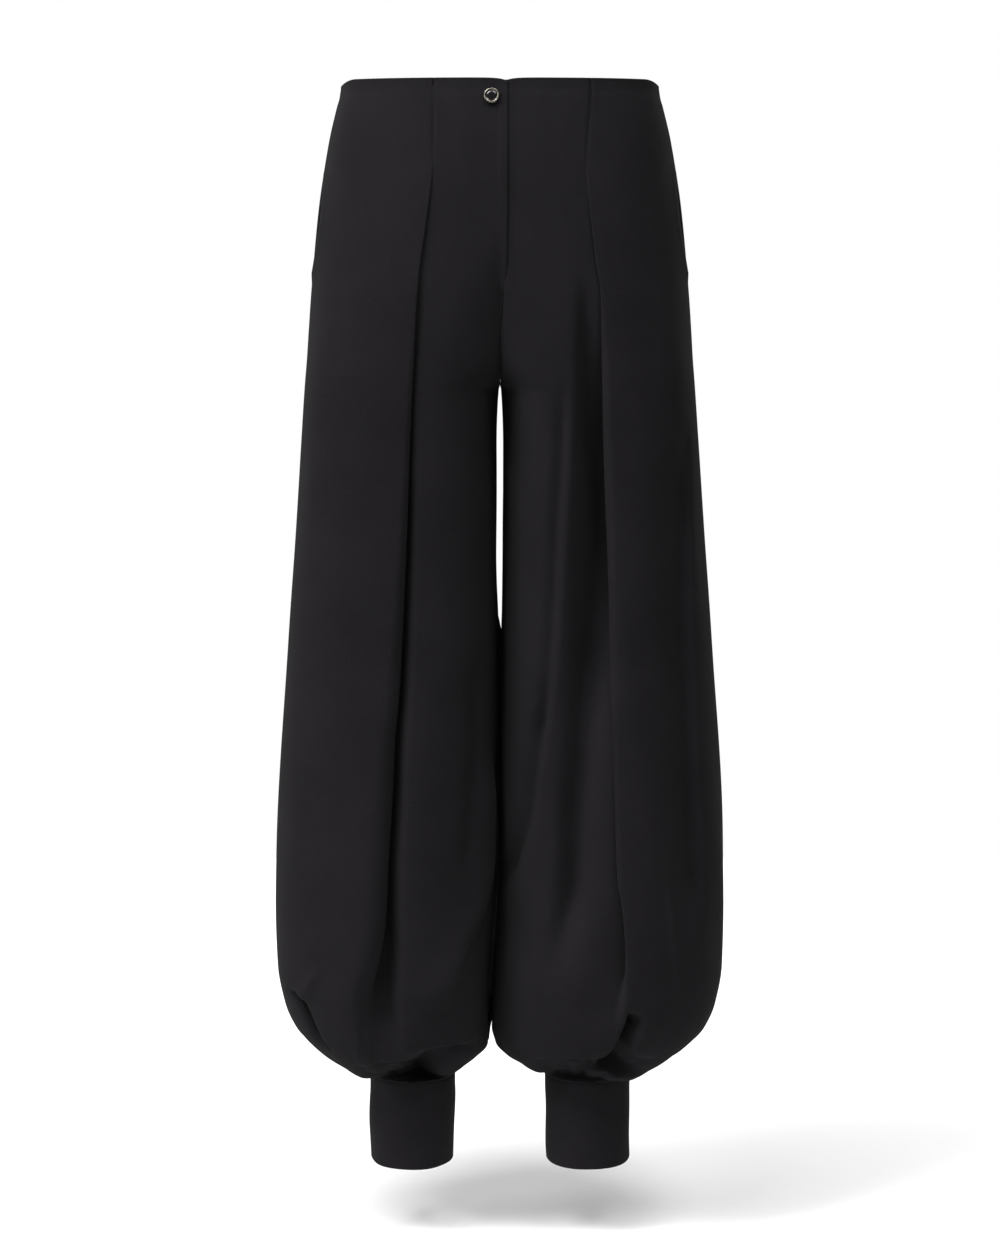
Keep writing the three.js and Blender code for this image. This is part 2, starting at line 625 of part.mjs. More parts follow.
// The cloth behind a pocket mouth: the leg's own points, moved in by one layer
function pocketFacing(leg) {
  const { forward, behind, top, foot, across, up } = FACING;
  const columnsOf = (_, section) => {
    const seam = section.side - SIDE_SEAM_FORWARD;
    return evenly(seam - forward, seam + behind, across).map((length) => ({ length, extra: 0 }));
  };
  const rows = evenly(top, foot, up).map((z) => clothRow(leg, z, columnsOf));
  const normals = gridNormals(rows, leg.sign);
  rows.forEach((row, r) => row.forEach((p, c) => p.addScaledVector(normals[r][c], -UNDER_STEP)));
  return piece("pocket_facing_" + leg.name, wall(rows, leg.sign, CLOTH), CLOTH_LOOK);
}

// A ring or disc of the button, lying flat on its back face
function buttonPart(name, profile, look) {
  const points = profile.map(([radius, height]) => new THREE.Vector2(radius, height));
  return piece(name, new THREE.LatheGeometry(points, BUTTON.sides), look);
}

function button() {
  const { radius, rim, rimHeight, bevel, faceHeight, dome } = BUTTON;
  const hollow = radius - rim;
  const ring = [
    [hollow, 0],
    [radius - bevel, 0],
    [radius, bevel],
    [radius, rimHeight - bevel],
    [radius - bevel, rimHeight],
    [hollow + bevel, rimHeight],
    [hollow, rimHeight - bevel],
    [hollow, 0],
  ];
  const disc = [
    [0, 0],
    [hollow - SEAM_GAP, 0],
    [hollow - SEAM_GAP, faceHeight],
    [0, faceHeight + dome],
  ];
  const group = new THREE.Group();
  group.add(buttonPart("button_rim", ring, METAL_LOOK), buttonPart("button_face", disc, ENAMEL_LOOK));
  const leg = LEGS.right;
  const section = sectionAt(leg, BUTTON.z);
  const behind = lengthAtX(section, leg.sign * BUTTON.x, "front") - section.side;
  const normal = smoothNormal(leg, BUTTON.z, behind);
  group.position.copy(smoothPoint(leg, BUTTON.z, behind));
  group.position.addScaledVector(normal, CLOTH / 2 + BUTTON_STAND_OFF);
  group.quaternion.setFromUnitVectors(new THREE.Vector3(0, 1, 0), normal);
  return group;
}

const trousers = new THREE.Group();
for (const leg of Object.values(LEGS)) {
  trousers.add(panel(leg, "front", frontColumns), panel(leg, "back", backColumns));
  trousers.add(cuff(leg), pocketFacing(leg));
}
trousers.add(flyShield(), button());

export default trousers;
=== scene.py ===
"""High-waisted harem trousers in very dark suiting, filled out as worn with no wearer.

The tables are in millimetres in the part's own frame: +Z up, front towards -Y, origin in the middle of
the waist edge. Right and left are the wearer's, so the right leg lies on -X. Blender objects are in
metres. Each cloth piece is a thin closed shell on the form of its solid, with its folds placed one by one.
"""

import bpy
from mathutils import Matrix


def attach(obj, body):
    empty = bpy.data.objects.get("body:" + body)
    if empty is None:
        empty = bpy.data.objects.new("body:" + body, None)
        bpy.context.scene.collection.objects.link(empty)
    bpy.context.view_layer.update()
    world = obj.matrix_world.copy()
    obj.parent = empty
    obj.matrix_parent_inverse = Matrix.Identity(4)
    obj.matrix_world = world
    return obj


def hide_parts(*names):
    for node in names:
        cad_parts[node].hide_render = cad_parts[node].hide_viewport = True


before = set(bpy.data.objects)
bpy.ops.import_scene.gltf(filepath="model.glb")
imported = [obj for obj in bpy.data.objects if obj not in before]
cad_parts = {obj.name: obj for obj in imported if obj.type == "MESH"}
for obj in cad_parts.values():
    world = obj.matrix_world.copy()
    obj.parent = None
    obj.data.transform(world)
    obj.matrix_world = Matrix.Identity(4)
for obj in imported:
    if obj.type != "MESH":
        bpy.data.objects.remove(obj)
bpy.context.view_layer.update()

import logging
import math
from dataclasses import dataclass, field
from enum import Enum
from typing import Sequence

import bpy
import numpy as np
from mathutils import Matrix, Vector

log = logging.getLogger("trousers")

# Metres in a millimetre
MM = 0.001
# Heights of the garment's landmarks
WAIST_EDGE = 0.0
PLEAT_RELEASE = -80.0
FLY_END = -200.0
CROTCH = -300.0
CUFF_SEAM = -999.0
CUFF_EDGE = -1090.0
# The gap at a seam, half the wall of a solid, and the step from a cloth's middle to the middle of a piece
# behind it
SEAM_GAP = 0.02
HALF_WALL = 0.75
UNDER_STEP = 2.3
# How thick the pieces behind an opening are
UNDER_CLOTH = 0.8

# Short names for types
Rows = tuple[tuple[float, ...], ...]
Pair = tuple[float, float]
Triple = tuple[float, float, float]
Array = np.ndarray
Item = bpy.types.Object
Socket = bpy.types.NodeSocket


class Leg(Enum):
    """One of the two legs, with the side of the middle that it lies on."""

    RIGHT = -1
    LEFT = 1

    @property
    def label(self) -> str:
        """The leg's name in the names of its pieces."""
        return self.name.lower()


class Face(Enum):
    """The face of the garment that a fold's places are read on."""

    FRONT = "front"
    BACK = "back"


def rise(value: Array, start: float | Array, end: float | Array) -> Array:
    """A smooth rise.

    Args:
        value: where to read it.
        start: the value up to which it is 0, which may change from row to row.
        end: the value from which it is 1, likewise.

    Returns:
        The height of the rise at each value.
    """
    share = np.clip((value - start) / (end - start), 0.0, 1.0)
    return share * share * (3.0 - 2.0 * share)


def signed_power(value: Array, power: Array) -> Array:
    """Each value's size raised to a power, with its own sign kept."""
    return np.sign(value) * np.abs(value) ** power


class Curve:
    """A smooth curve through rows of height and value that never overshoots them."""

    def __init__(self, rows: Rows, column: int = 1) -> None:
        """Reads the rows.

        Args:
            rows: from the top down, each with its height first.
            column: which of a row's numbers to follow.
        """
        table = np.array([(row[0], row[column]) for row in rows], dtype=float)[::-1]
        self.z, self.value = table[:, 0], table[:, 1]
        chord = np.diff(self.value) / np.diff(self.z)
        before, after = chord[:-1], chord[1:]
        turning = before * after <= 0
        mean = 2.0 * before * after / np.where(turning, 1.0, before + after)
        self.slope = np.concatenate(([0.0], np.where(turning, 0.0, mean), [0.0]))

    def at(self, z: Array) -> Array:
        """The curve's value at each height.

        Args:
            z: heights.

        Returns:
            The values, level past the first and last rows.
        """
        z = np.clip(np.asarray(z, dtype=float), self.z[0], self.z[-1])
        row = np.clip(np.searchsorted(self.z, z, side="right") - 1, 0, len(self.z) - 2)
        span = self.z[row + 1] - self.z[row]
        t = (z - self.z[row]) / span
        t2, t3 = t * t, t * t * t
        return (
            (2 * t3 - 3 * t2 + 1) * self.value[row]
            + (t3 - 2 * t2 + t) * span * self.slope[row]
            + (3 * t2 - 2 * t3) * self.value[row + 1]
            + (t3 - t2) * span * self.slope[row + 1]
        )


@dataclass(frozen=True)
class BodyForm:
    """The trousers' smooth surface, as tables of horizontal sections.

    A section row gives the height, how far the side, front and back lie from the origin, how far from
    the middle each half is deepest, and how square its side and middle quarters are.
    """

    sections: Rows = (
        (0, 156, 80, 82, 0, 2.3, 2.3),
        (-20, 160.5, 84, 86, 4, 2.3, 2.3),
        (-70, 170.5, 92, 98, 15, 2.3, 2.3),
        (-120, 178.5, 97, 107, 30, 2.35, 2.35),
        (-170, 184, 100, 112, 48, 2.4, 2.4),
        (-215, 188, 101, 112, 66, 2.5, 2.6),
        (-245, 190, 101, 110.5, 77, 2.6, 2.9),
        (-270, 191.5, 100.5, 109, 86, 2.7, 3.2),
        (-288, 193, 100, 107.5, 93, 2.75, 3.4),
        (-300, 194, 99.5, 106.5, 97, 2.75, 3.4),
        (-360, 198.5, 98, 103, 101, 2.7, 3.1),
        (-460, 205.5, 96, 99, 104, 2.6, 2.8),
        (-540, 212, 96, 99, 107, 2.5, 2.6),
        (-660, 221, 98, 101, 111, 2.4, 2.5),
        (-770, 227, 101, 104, 114, 2.35, 2.4),
        (-830, 228.5, 102, 105, 115, 2.3, 2.3),
        (-885, 227, 101, 104, 115, 2.25, 2.25),
        (-925, 220, 95, 97, 112, 2.15, 2.15),
        (-950, 209, 85, 88, 106, 2.1, 2.1),
        (-966, 194, 72, 77, 100, 2.05, 2.05),
        (-978, 174, 60, 66, 96, 2, 2),
        (-988, 152, 52, 56, 92, 2.05, 2.05),
        (-995, 138, 48.5, 50, 90.5, 2.1, 2.1),
        (-999, 133.6, 46.7, 46.7, 89.5, 2.15, 2.15),
    )
    insides: Rows = (
        (-120, -184, -184), (-170, -150, -150), (-215, -104, -104), (-245, -66, -66), (-270, -34, -34),
        (-288, -11, -11), (-300, 0.9, 0.9), (-360, 3.5, 3.5), (-460, 3.2, 2.6), (-540, 1, 0.8),
        (-660, 2.2, -0.6), (-770, 2.6, -1), (-830, 5.4, -3.4), (-885, 9.4, -7.2), (-925, 10.8, -8.8),
        (-950, 11.4, -8.4), (-966, 12, -5), (-978, 22, 8), (-988, 36, 26), (-995, 44, 41),
        (-999, 45.4, 45.4),
    )
    centre_front: Rows = ((0, 5), (-200, 4), (-270, 0), (-300, 0))
    side_seam_forward: float = 18.0

    def inside(self, leg: Leg) -> Curve:
        """The curve of a leg's inside."""
        return Curve(self.insides, 1 if leg is Leg.RIGHT else 2)


class LegSections:
    """One leg's half of the cloth's middle at many heights, each from the centre front to the back."""

    STEPS = 720

    def __init__(self, form: BodyForm, leg: Leg, z: Array) -> None:
        """Works the sections out.

        Args:
            form: the tables.
            leg: which leg.
            z: the heights, one section each.
        """
        self.leg = leg
        self.z = np.asarray(z, dtype=float)
        level = self.z[:, None]
        out, front, back, crest, side_square, middle_square = (
            Curve(form.sections, column).at(level) for column in range(1, len(form.sections[0]))
        )
        out, front, back = out - HALF_WALL, front - HALF_WALL, back - HALF_WALL
        inner = form.inside(leg).at(level) + HALF_WALL
        reach_middle, reach_side = crest - inner, out - crest

        def angle_at(x: Array) -> Array:
            """The angle round a section at which its middle quarter reaches x."""
            return np.arccos(signed_power(np.clip((crest - x) / reach_middle, -1, 1), middle_square / 2))

        parted = level <= CROTCH
        edge = leg.value * Curve(form.centre_front).at(level)
        first = np.where(parted, 0.0, angle_at(edge))
        last = 2 * np.pi - np.where(parted, 0.0, angle_at(np.zeros_like(level)))
        step = np.arange(self.STEPS + 1)[None, :] / (self.STEPS / 2)
        angle = np.where(step < 1, first + (np.pi - first) * step, np.pi + (last - np.pi) * (step - 1))
        middle = np.cos(angle) > 0
        reach = np.where(middle, reach_middle, reach_side)
        square = np.where(middle, middle_square, side_square)
        along = signed_power(np.sin(angle), 2 / square)
        self.x = crest - reach * signed_power(np.cos(angle), 2 / square)
        self.y = np.where(along > 0, -front, -back) * along
        steps = np.hypot(np.diff(self.x, axis=1), np.diff(self.y, axis=1))
        self.lengths = np.concatenate((np.zeros_like(level), np.cumsum(steps, axis=1)), axis=1)
        self.total = self.lengths[:, -1:]
        self.side = self.lengths[:, self.STEPS // 2 : self.STEPS // 2 + 1]

    def point(self, behind: Array) -> Array:
        """Points of the smooth surface.

        Args:
            behind: lengths behind the widest point, a row for each section.

        Returns:
            The points, with the leg's side in x.
        """
        where = np.clip(behind + self.side, 0.0, self.total)
        out = np.empty(behind.shape + (3,))
        for r, row in enumerate(where):
            out[r, :, 0] = self.leg.value * np.interp(row, self.lengths[r], self.x[r])
            out[r, :, 1] = np.interp(row, self.lengths[r], self.y[r])
            out[r, :, 2] = self.z[r]
        return out

    def length_at_x(self, x: Array, face: Face) -> Array:
        """The length along each section at which its front or back lies at a given x.

        Args:
            x: one value for each section, outwards from the middle.
            face: front or back.

        Returns:
            A column of lengths.
        """
        half = self.STEPS // 2
        out = np.empty((len(self.z), 1))
        for r, value in enumerate(np.broadcast_to(x, self.z.shape)):
            part = slice(0, half + 1) if face is Face.FRONT else slice(self.STEPS, half - 1, -1)
            reach = np.maximum.accumulate(self.x[r, part])
            out[r, 0] = np.interp(value, reach, self.lengths[r, part])
        return out


class LegSurface:
    """A leg's smooth surface with its outward normals, to lay cloth on."""

    STEP = 2.0

    def __init__(self, form: BodyForm, leg: Leg, z: Array) -> None:
        """Works out the sections at each height and just above and below it.

        Args:
            form: the tables.
            leg: which leg.
            z: the heights, from the top down.
        """
        self.leg, self.form = leg, form
        self.z = np.asarray(z, dtype=float)
        self.here = LegSections(form, leg, self.z)
        self.above = LegSections(form, leg, np.minimum(self.z + self.STEP, WAIST_EDGE))
        self.below = LegSections(form, leg, np.maximum(self.z - self.STEP, CUFF_SEAM))

    def cloth(self, length: Array, offset: Array) -> Array:
        """Points laid on the surface.

        Args:
            length: lengths along each section.
            offset: how far out of the smooth surface each point stands.

        Returns:
            The points.
        """
        behind = length - self.here.side
        point = self.here.point(behind)
        up = self.above.point(behind) - self.below.point(behind)
        along = self.here.point(behind + self.STEP) - self.here.point(behind - self.STEP)
        normal = self.leg.value * np.cross(along, up)
        normal /= np.linalg.norm(normal, axis=2, keepdims=True)
        return point + normal * offset[:, :, None]


@dataclass(frozen=True)
class Crease:
    """A soft trough, or with a negative depth a ridge, along a path in the cloth.

    The path is rows of height and x. The widths run to each side of its middle, towards the centre of
    the garment and away from it, and a narrow width makes a sharp edge there. The lip that leans over is
    placed and sized by multiples of the towards width. Where a path runs almost level, its widths are
    still measured as if it ran a little upright.
    """

    LEAST_UPRIGHT = 0.15
    LIP_PLACE = 1.6
    LIP_WIDTH = 1.3

    leg: Leg
    face: Face
    path: Rows
    towards: float
    away: float
    depth: float
    fade_top: float
    fade_foot: float
    lean: float = 0.0

    def moves(self, surface: LegSurface, length: Array) -> tuple[Array, Array]:
        """How far the crease moves the cloth.

        Args:
            surface: the leg's surface.
            length: lengths along its sections.

        Returns:
            How far out, and how far along the section, where the lip on the towards side leans over.
        """
        z = surface.z
        top, foot = self.path[0][0], self.path[-1][0]
        inside = (z <= top) & (z >= foot)
        if self.leg is not surface.leg or not inside.any():
            return np.zeros_like(length), np.zeros_like(length)
        centre = surface.here.length_at_x(abs(Curve(self.path).at(z)), self.face)
        behind = centre - surface.here.side
        line = surface.here.point(behind)[:, 0, :]
        fall = np.maximum(np.linalg.norm(np.gradient(line, axis=0), axis=1, keepdims=True), 1e-6)
        drift = np.gradient(behind[:, 0])[:, None]
        upright = np.sqrt(np.clip(1 - (drift / fall) ** 2, self.LEAST_UPRIGHT, 1.0))
        outward = 1.0 if self.face is Face.FRONT else -1.0
        distance = (length - centre) * upright * outward
        width = np.where(distance > 0, self.away, self.towards)
        half = (top - foot) / 2
        begun = rise(-z, -top, -top + min(self.fade_top, half))
        left = rise(z, foot, foot + min(self.fade_foot, half))
        strength = (begun * left * inside)[:, None]
        out = -self.depth * strength * np.exp(-((distance / width) ** 2))
        lip_place, lip_width = self.LIP_PLACE * self.towards, self.LIP_WIDTH * self.towards
        lip = np.exp(-(((distance + lip_place) / lip_width) ** 2))
        return out, self.lean * outward * strength * lip


@dataclass(frozen=True)
class Gathers:
    """The uneven lobes in which each leg is drawn in to its cuff."""

    lobes: int = 17
    heights: Rows = ((-905, 0), (-940, 0.6), (-962, 2.2), (-978, 4.4), (-988, 5.4), (-994, 4.4), (-999, 0.8))
    swell: Rows = (
        (-905, 0), (-930, 2), (-950, 5), (-966, 8.5), (-978, 10.5), (-988, 10), (-994, 7.5), (-999, 0.6),
    )
    front_share: float = 0.3
    front_from: float = 0.3
    front_to: float = 0.9
    width_spread: float = 0.5
    size_spread: float = 0.6
    roundness: float = 2.4
    mean_height: float = 0.55
    seed: int = 11

    def offset(self, surface: LegSurface, length: Array) -> Array:
        """How far out the gathers push the cloth.

        Args:
            surface: the leg's surface.
            length: lengths along its sections.

        Returns:
            The offsets, of the shape of length.
        """
        draw = np.random.default_rng(self.seed + surface.leg.value)
        widths = 1 + self.width_spread * draw.uniform(-1, 1, self.lobes)
        valleys = np.concatenate(([0.0], np.cumsum(widths) / widths.sum()))
        sizes = 1 + self.size_spread * draw.uniform(-1, 1, self.lobes)
        share = np.clip(length / surface.here.total, 0.0, 1.0 - 1e-9)
        lobe = np.clip(np.searchsorted(valleys, share, side="right") - 1, 0, self.lobes - 1)
        within = (share - valleys[lobe]) / (valleys[lobe + 1] - valleys[lobe])
        arch = 1 - np.abs(2 * within - 1) ** self.roundness
        height = Curve(self.heights).at(surface.z)[:, None]
        front = Curve(surface.form.sections, 2).at(surface.z)[:, None]
        forward = -surface.here.point(length - surface.here.side)[:, :, 1] / front
        ahead = rise(forward, self.front_from, self.front_to)
        full = Curve(self.swell).at(surface.z)[:, None] * ahead
        return height * sizes[lobe] * (arch - self.mean_height) * (1 - (1 - self.front_share) * ahead) + full


@dataclass(frozen=True)
class Drape:
    """The slight waviness of cloth that hangs, so that no stretch of it is perfectly smooth.

    It grows from a least share over a first stretch below the waist and dies away over a last one.
    """

    size: float = 0.55
    waves: int = 14
    across: Pair = (45.0, 150.0)
    down: Pair = (180.0, 600.0)
    strength: Pair = (0.3, 1.0)
    least: float = 0.35
    grows: Pair = (60.0, 420.0)
    settles: Pair = (960.0, 996.0)
    seed: int = 5

    def offset(self, surface: LegSurface, length: Array) -> Array:
        """How far out the waviness moves the cloth.

        Args:
            surface: the leg's surface.
            length: lengths along its sections.

        Returns:
            The offsets, of the shape of length.
        """
        draw = np.random.default_rng(self.seed + surface.leg.value)
        behind = length - surface.here.side
        out = np.zeros_like(length)
        for _ in range(self.waves):
            across = draw.uniform(*self.across)
            down = draw.uniform(*self.down)
            phase = draw.uniform(0, 2 * np.pi)
            slant = draw.choice((-1, 1))
            turn = 2 * np.pi * (behind / across + slant * surface.z[:, None] / down) + phase
            out += draw.uniform(*self.strength) * np.sin(turn)
        grown = self.least + (1 - self.least) * rise(-surface.z, *self.grows)[:, None]
        settled = 1 - rise(-surface.z, *self.settles)[:, None]
        return self.size * out / math.sqrt(self.waves / 2) * grown * settled


@dataclass
class Shell:
    """A closed shell of cloth round a grid of points that run from the top down."""

    name: str
    points: Array
    thickness: Array
    sign: int
    around: bool = False

    def normals(self) -> Array:
        """Works out which way the cloth faces.

        Returns:
            The outward normal at each point, from its neighbours.
        """
        p = self.points
        if self.around:
            along = np.roll(p, -1, axis=1) - np.roll(p, 1, axis=1)
        else:
            along = np.gradient(p, axis=1)
        up = -np.gradient(p, axis=0)
        normal = self.sign * np.cross(along, up)
        return normal / np.maximum(np.linalg.norm(normal, axis=2, keepdims=True), 1e-12)

    def fabric_map(self) -> Array:
        """Lays the cloth out flat.

        Returns:
            Where each point lies in the flat cloth, in metres across and down.
        """
        p = self.points
        across = np.linalg.norm(np.diff(p, axis=1), axis=2).mean(axis=0)
        down = np.linalg.norm(np.diff(p, axis=0), axis=2)
        u = np.concatenate(([0.0], np.cumsum(across)))
        v = np.concatenate((np.zeros((1, p.shape[1])), np.cumsum(down, axis=0)))
        return np.stack((np.broadcast_to(u, v.shape), -v), axis=2) * MM

    def build(self) -> Item:
        """Makes the shell's mesh.

        Returns:
            The new object, smooth shaded, with a map of the flat cloth.
        """
        rows, columns = self.points.shape[:2]
        normal = self.normals()
        half = self.thickness[:, :, None] / 2
        outer, inner = self.points + normal * half, self.points - normal * half
        size = rows * columns
        index = np.arange(size).reshape(rows, columns)
        count = columns if self.around else columns - 1
        near = np.arange(count)
        far = (near + 1) % columns
        a, b = index[:-1][:, near], index[1:][:, near]
        c, d = index[1:][:, far], index[:-1][:, far]
        faces = [np.stack((a, b, c, d), axis=2).reshape(-1, 4)]
        faces.append(np.stack((a, d, c, b), axis=2).reshape(-1, 4) + size)
        verts = [outer.reshape(-1, 3), inner.reshape(-1, 3)]
        flat = self.fabric_map()
        maps = [flat.reshape(-1, 2), flat.reshape(-1, 2)]
        start = 2 * size

        def rim(line: Array, beyond: Array, closed: bool) -> None:
            """Closes an edge of the shell with a rounded strip.

            Args:
                line: the grid's indices along the edge, in the order that keeps its faces outwards.
                beyond: a point past each of them.
                closed: whether the line runs round to its start.
            """
            nonlocal start
            middle = start + np.arange(len(line))
            verts.append(beyond)
            maps.append(flat.reshape(-1, 2)[line])
            start += len(line)
            for side, other in ((line, middle), (middle, line + size)):
                if closed:
                    faces.append(np.stack((side, np.roll(side, -1), np.roll(other, -1), other), axis=1))
                else:
                    faces.append(np.stack((side[:-1], side[1:], other[1:], other[:-1]), axis=1))

        flat_points = self.points.reshape(-1, 3)
        reach = self.thickness.reshape(-1, 1) / 2

        def past(line: Array, inward: Array) -> Array:
            """Finds points past an edge.

            Args:
                line: the grid's indices along the edge.
                inward: the indices of the points one row in.

            Returns:
                A point past each, away from the one inward of it.
            """
            away = flat_points[line] - flat_points[inward]
            away /= np.maximum(np.linalg.norm(away, axis=1, keepdims=True), 1e-9)
            return flat_points[line] + away * reach[line]

        top, foot = index[0], index[-1]
        rim(top, past(top, index[1]), self.around)
        rim(foot[::-1], past(foot[::-1], index[-2][::-1]), self.around)
        if not self.around:
            first, last = index[:, 0], index[:, -1]
            rim(first[::-1], past(first[::-1], index[:, 1][::-1]), False)
            rim(last, past(last, index[:, -2]), False)
            self._corners(faces, index, size, rows, columns)
        all_faces = np.concatenate(faces)
        if self.sign < 0:
            all_faces = all_faces[:, ::-1]
        mesh = bpy.data.meshes.new(self.name)
        points = np.concatenate(verts) * MM
        mesh.from_pydata(points.tolist(), [], all_faces.tolist())
        layer = mesh.uv_layers.new(name="fabric")
        loops = np.empty(len(mesh.loops), dtype=np.int32)
        mesh.loops.foreach_get("vertex_index", loops)
        layer.data.foreach_set("uv", np.concatenate(maps)[loops].astype(np.float32).ravel())
        mesh.shade_smooth()
        mesh.validate()
        item = bpy.data.objects.new(self.name, mesh)
        bpy.context.scene.collection.objects.link(item)
        return item

    @staticmethod
    def _corners(faces: list[Array], index: Array, size: int, rows: int, columns: int) -> None:
        """Closes the four corners where two rims meet.

        Args:
            faces: the list of faces to add to.
            index: the grid's indices.
            size: how many points the grid has.
            rows: how many rows it has.
            columns: how many columns it has.
        """
        top = 2 * size
        foot = top + columns
        first = foot + columns
        last = first + rows
        corners = (
            (index[0, 0], top, first + rows - 1),
            (index[0, -1], last, top + columns - 1),
            (index[-1, 0], first, foot + columns - 1),
            (index[-1, -1], foot, last + rows - 1),
        )
        for at, one, other in corners:
            faces.append(np.array([[at, one, at + size, other]]))


@dataclass(frozen=True)
class Pleat:
    """A leg's deep front pleat, stitched down to its release and then folded towards the middle.

    The line gives the fold's edge as rows of height and x. The valley is rows of height, depth, how far
    it reaches from under the fold towards the middle, and how wide its slope is. The roll is rows of
    height and how wide the rounded edge of the cloth on top is. The fold is rows of height, how far the
    cloth turns, the radius of its bends and how much cloth lies hidden.
    """

    leg: Leg
    line: Rows
    valley: Rows
    roll: Rows
    fold: Rows = (
        (0, 14, 1.5, 0.6), (-76, 16, 1.5, 0.6), (-96, 60, 0.8, 0.7), (-125, 125, 0.55, 1.0),
        (-170, 172, 0.6, 4), (-215, 178, 0.7, 9), (-300, 178, 0.9, 14), (-700, 178, 1.15, 12),
        (-800, 172, 1.4, 10), (-860, 130, 2.2, 6), (-905, 60, 6, 4), (-945, 22, 20, 4), (-999, 6, 70, 4),
    )
    bend_steps: int = 8
    hidden_steps: int = 5
    in_share: float = 0.35
    roll_height: float = 0.85
    roll_most: float = 0.97
    in_reach: float = 45.0
    out_reach: float = 60.0

    def section(self, z: Array) -> tuple[Array, Array]:
        """The folded cloth in plain section, from under the fold to on top of it.

        Args:
            z: heights.

        Returns:
            How far each point lies along the cloth from the fold's edge, and how far out of the cloth
            on top it lies, which is 0 or less.
        """
        turn = np.radians(Curve(self.fold, 1).at(z))[:, None]
        bend = Curve(self.fold, 2).at(z)[:, None]
        hidden = Curve(self.fold, 3).at(z)[:, None]
        angle = turn * np.linspace(0, 1, self.bend_steps + 1)[None, :]
        along = [bend * np.sin(angle)]
        depth = [bend * (1 - np.cos(angle))]
        run = hidden * np.linspace(0, 1, self.hidden_steps + 1)[None, 1:]
        along.append(bend * np.sin(turn) + run * np.cos(turn))
        depth.append(bend * (1 - np.cos(turn)) + run * np.sin(turn))
        back = turn - angle[:, 1:]
        along.append(along[1][:, -1:] + bend * (np.sin(turn) - np.sin(back)))
        depth.append(depth[1][:, -1:] + bend * (np.cos(back) - np.cos(turn)))
        along_all, depth_all = np.concatenate(along, axis=1), np.concatenate(depth, axis=1)
        edge = along_all[:, -1:] - bend * np.sin(np.minimum(turn, np.pi / 2))
        return along_all - edge, depth_all - depth_all[:, -1:]

    def rolled(self, distance: Array, z: Array) -> Array:
        """How far the cloth on top rolls under near the fold's edge.

        Args:
            distance: lengths from the edge, a row for each height.
            z: the heights.

        Returns:
            The depths, greatest at the edge.
        """
        width = np.maximum(Curve(self.roll).at(z)[:, None], 1e-6)
        share = np.clip(1 - distance / width, 0.0, self.roll_most)
        return self.roll_height * width * (1 - np.sqrt(1 - share * share))

    def edge(self, surface: LegSurface) -> Array:
        """The length along each section at which the fold's edge lies."""
        x = self.leg.value * Curve(self.line).at(surface.z)
        return surface.here.length_at_x(x, Face.FRONT)


RIGHT_PLEAT = Pleat(
    Leg.RIGHT,
    line=(
        (0, -63.5), (-80, -64.4), (-134, -70.3), (-191, -78.2), (-249, -82), (-355, -87.5), (-423, -90),
        (-500, -93.5), (-599, -99), (-639, -103), (-699, -106), (-759, -110), (-819, -113), (-860, -119.5),
        (-900, -129), (-950, -130), (-999, -116),
    ),
    valley=(
        (-150, 0, 20, 10), (-250, 3, 21, 9), (-350, 8, 23, 11), (-430, 13, 25, 13), (-560, 17, 27, 15),
        (-640, 19, 28, 16), (-700, 21, 29, 17), (-850, 22, 28, 18), (-905, 14, 27, 18), (-945, 5, 26, 18),
        (-985, 0, 28, 18),
    ),
    roll=(
        (-215, 0), (-300, 2), (-345, 3.5), (-423, 6), (-500, 8.5), (-580, 12), (-640, 14), (-700, 18),
        (-850, 20), (-890, 14), (-930, 6), (-965, 0),
    ),
)
LEFT_PLEAT = Pleat(
    Leg.LEFT,
    line=(
        (0, 87), (-80, 83.5), (-172, 91.5), (-201, 96.4), (-355, 100.5), (-500, 106.5), (-599, 109),
        (-654, 111.2), (-779, 115.8), (-809, 120.9), (-860, 124), (-920, 119), (-999, 104),
    ),
    valley=(
        (-150, 0, 30, 14), (-200, 0.5, 34, 16), (-230, 2.5, 37, 20), (-258, 7, 40, 23), (-306, 15, 46, 29),
        (-365, 22, 51, 33), (-423, 24, 54, 36), (-482, 20, 60, 40), (-541, 11, 65, 42), (-600, 4, 68, 44),
        (-650, 0, 68, 44),
    ),
    roll=((-190, 0), (-258, 5), (-306, 8), (-423, 9), (-541, 7), (-620, 4), (-760, 2), (-860, 0)),
)

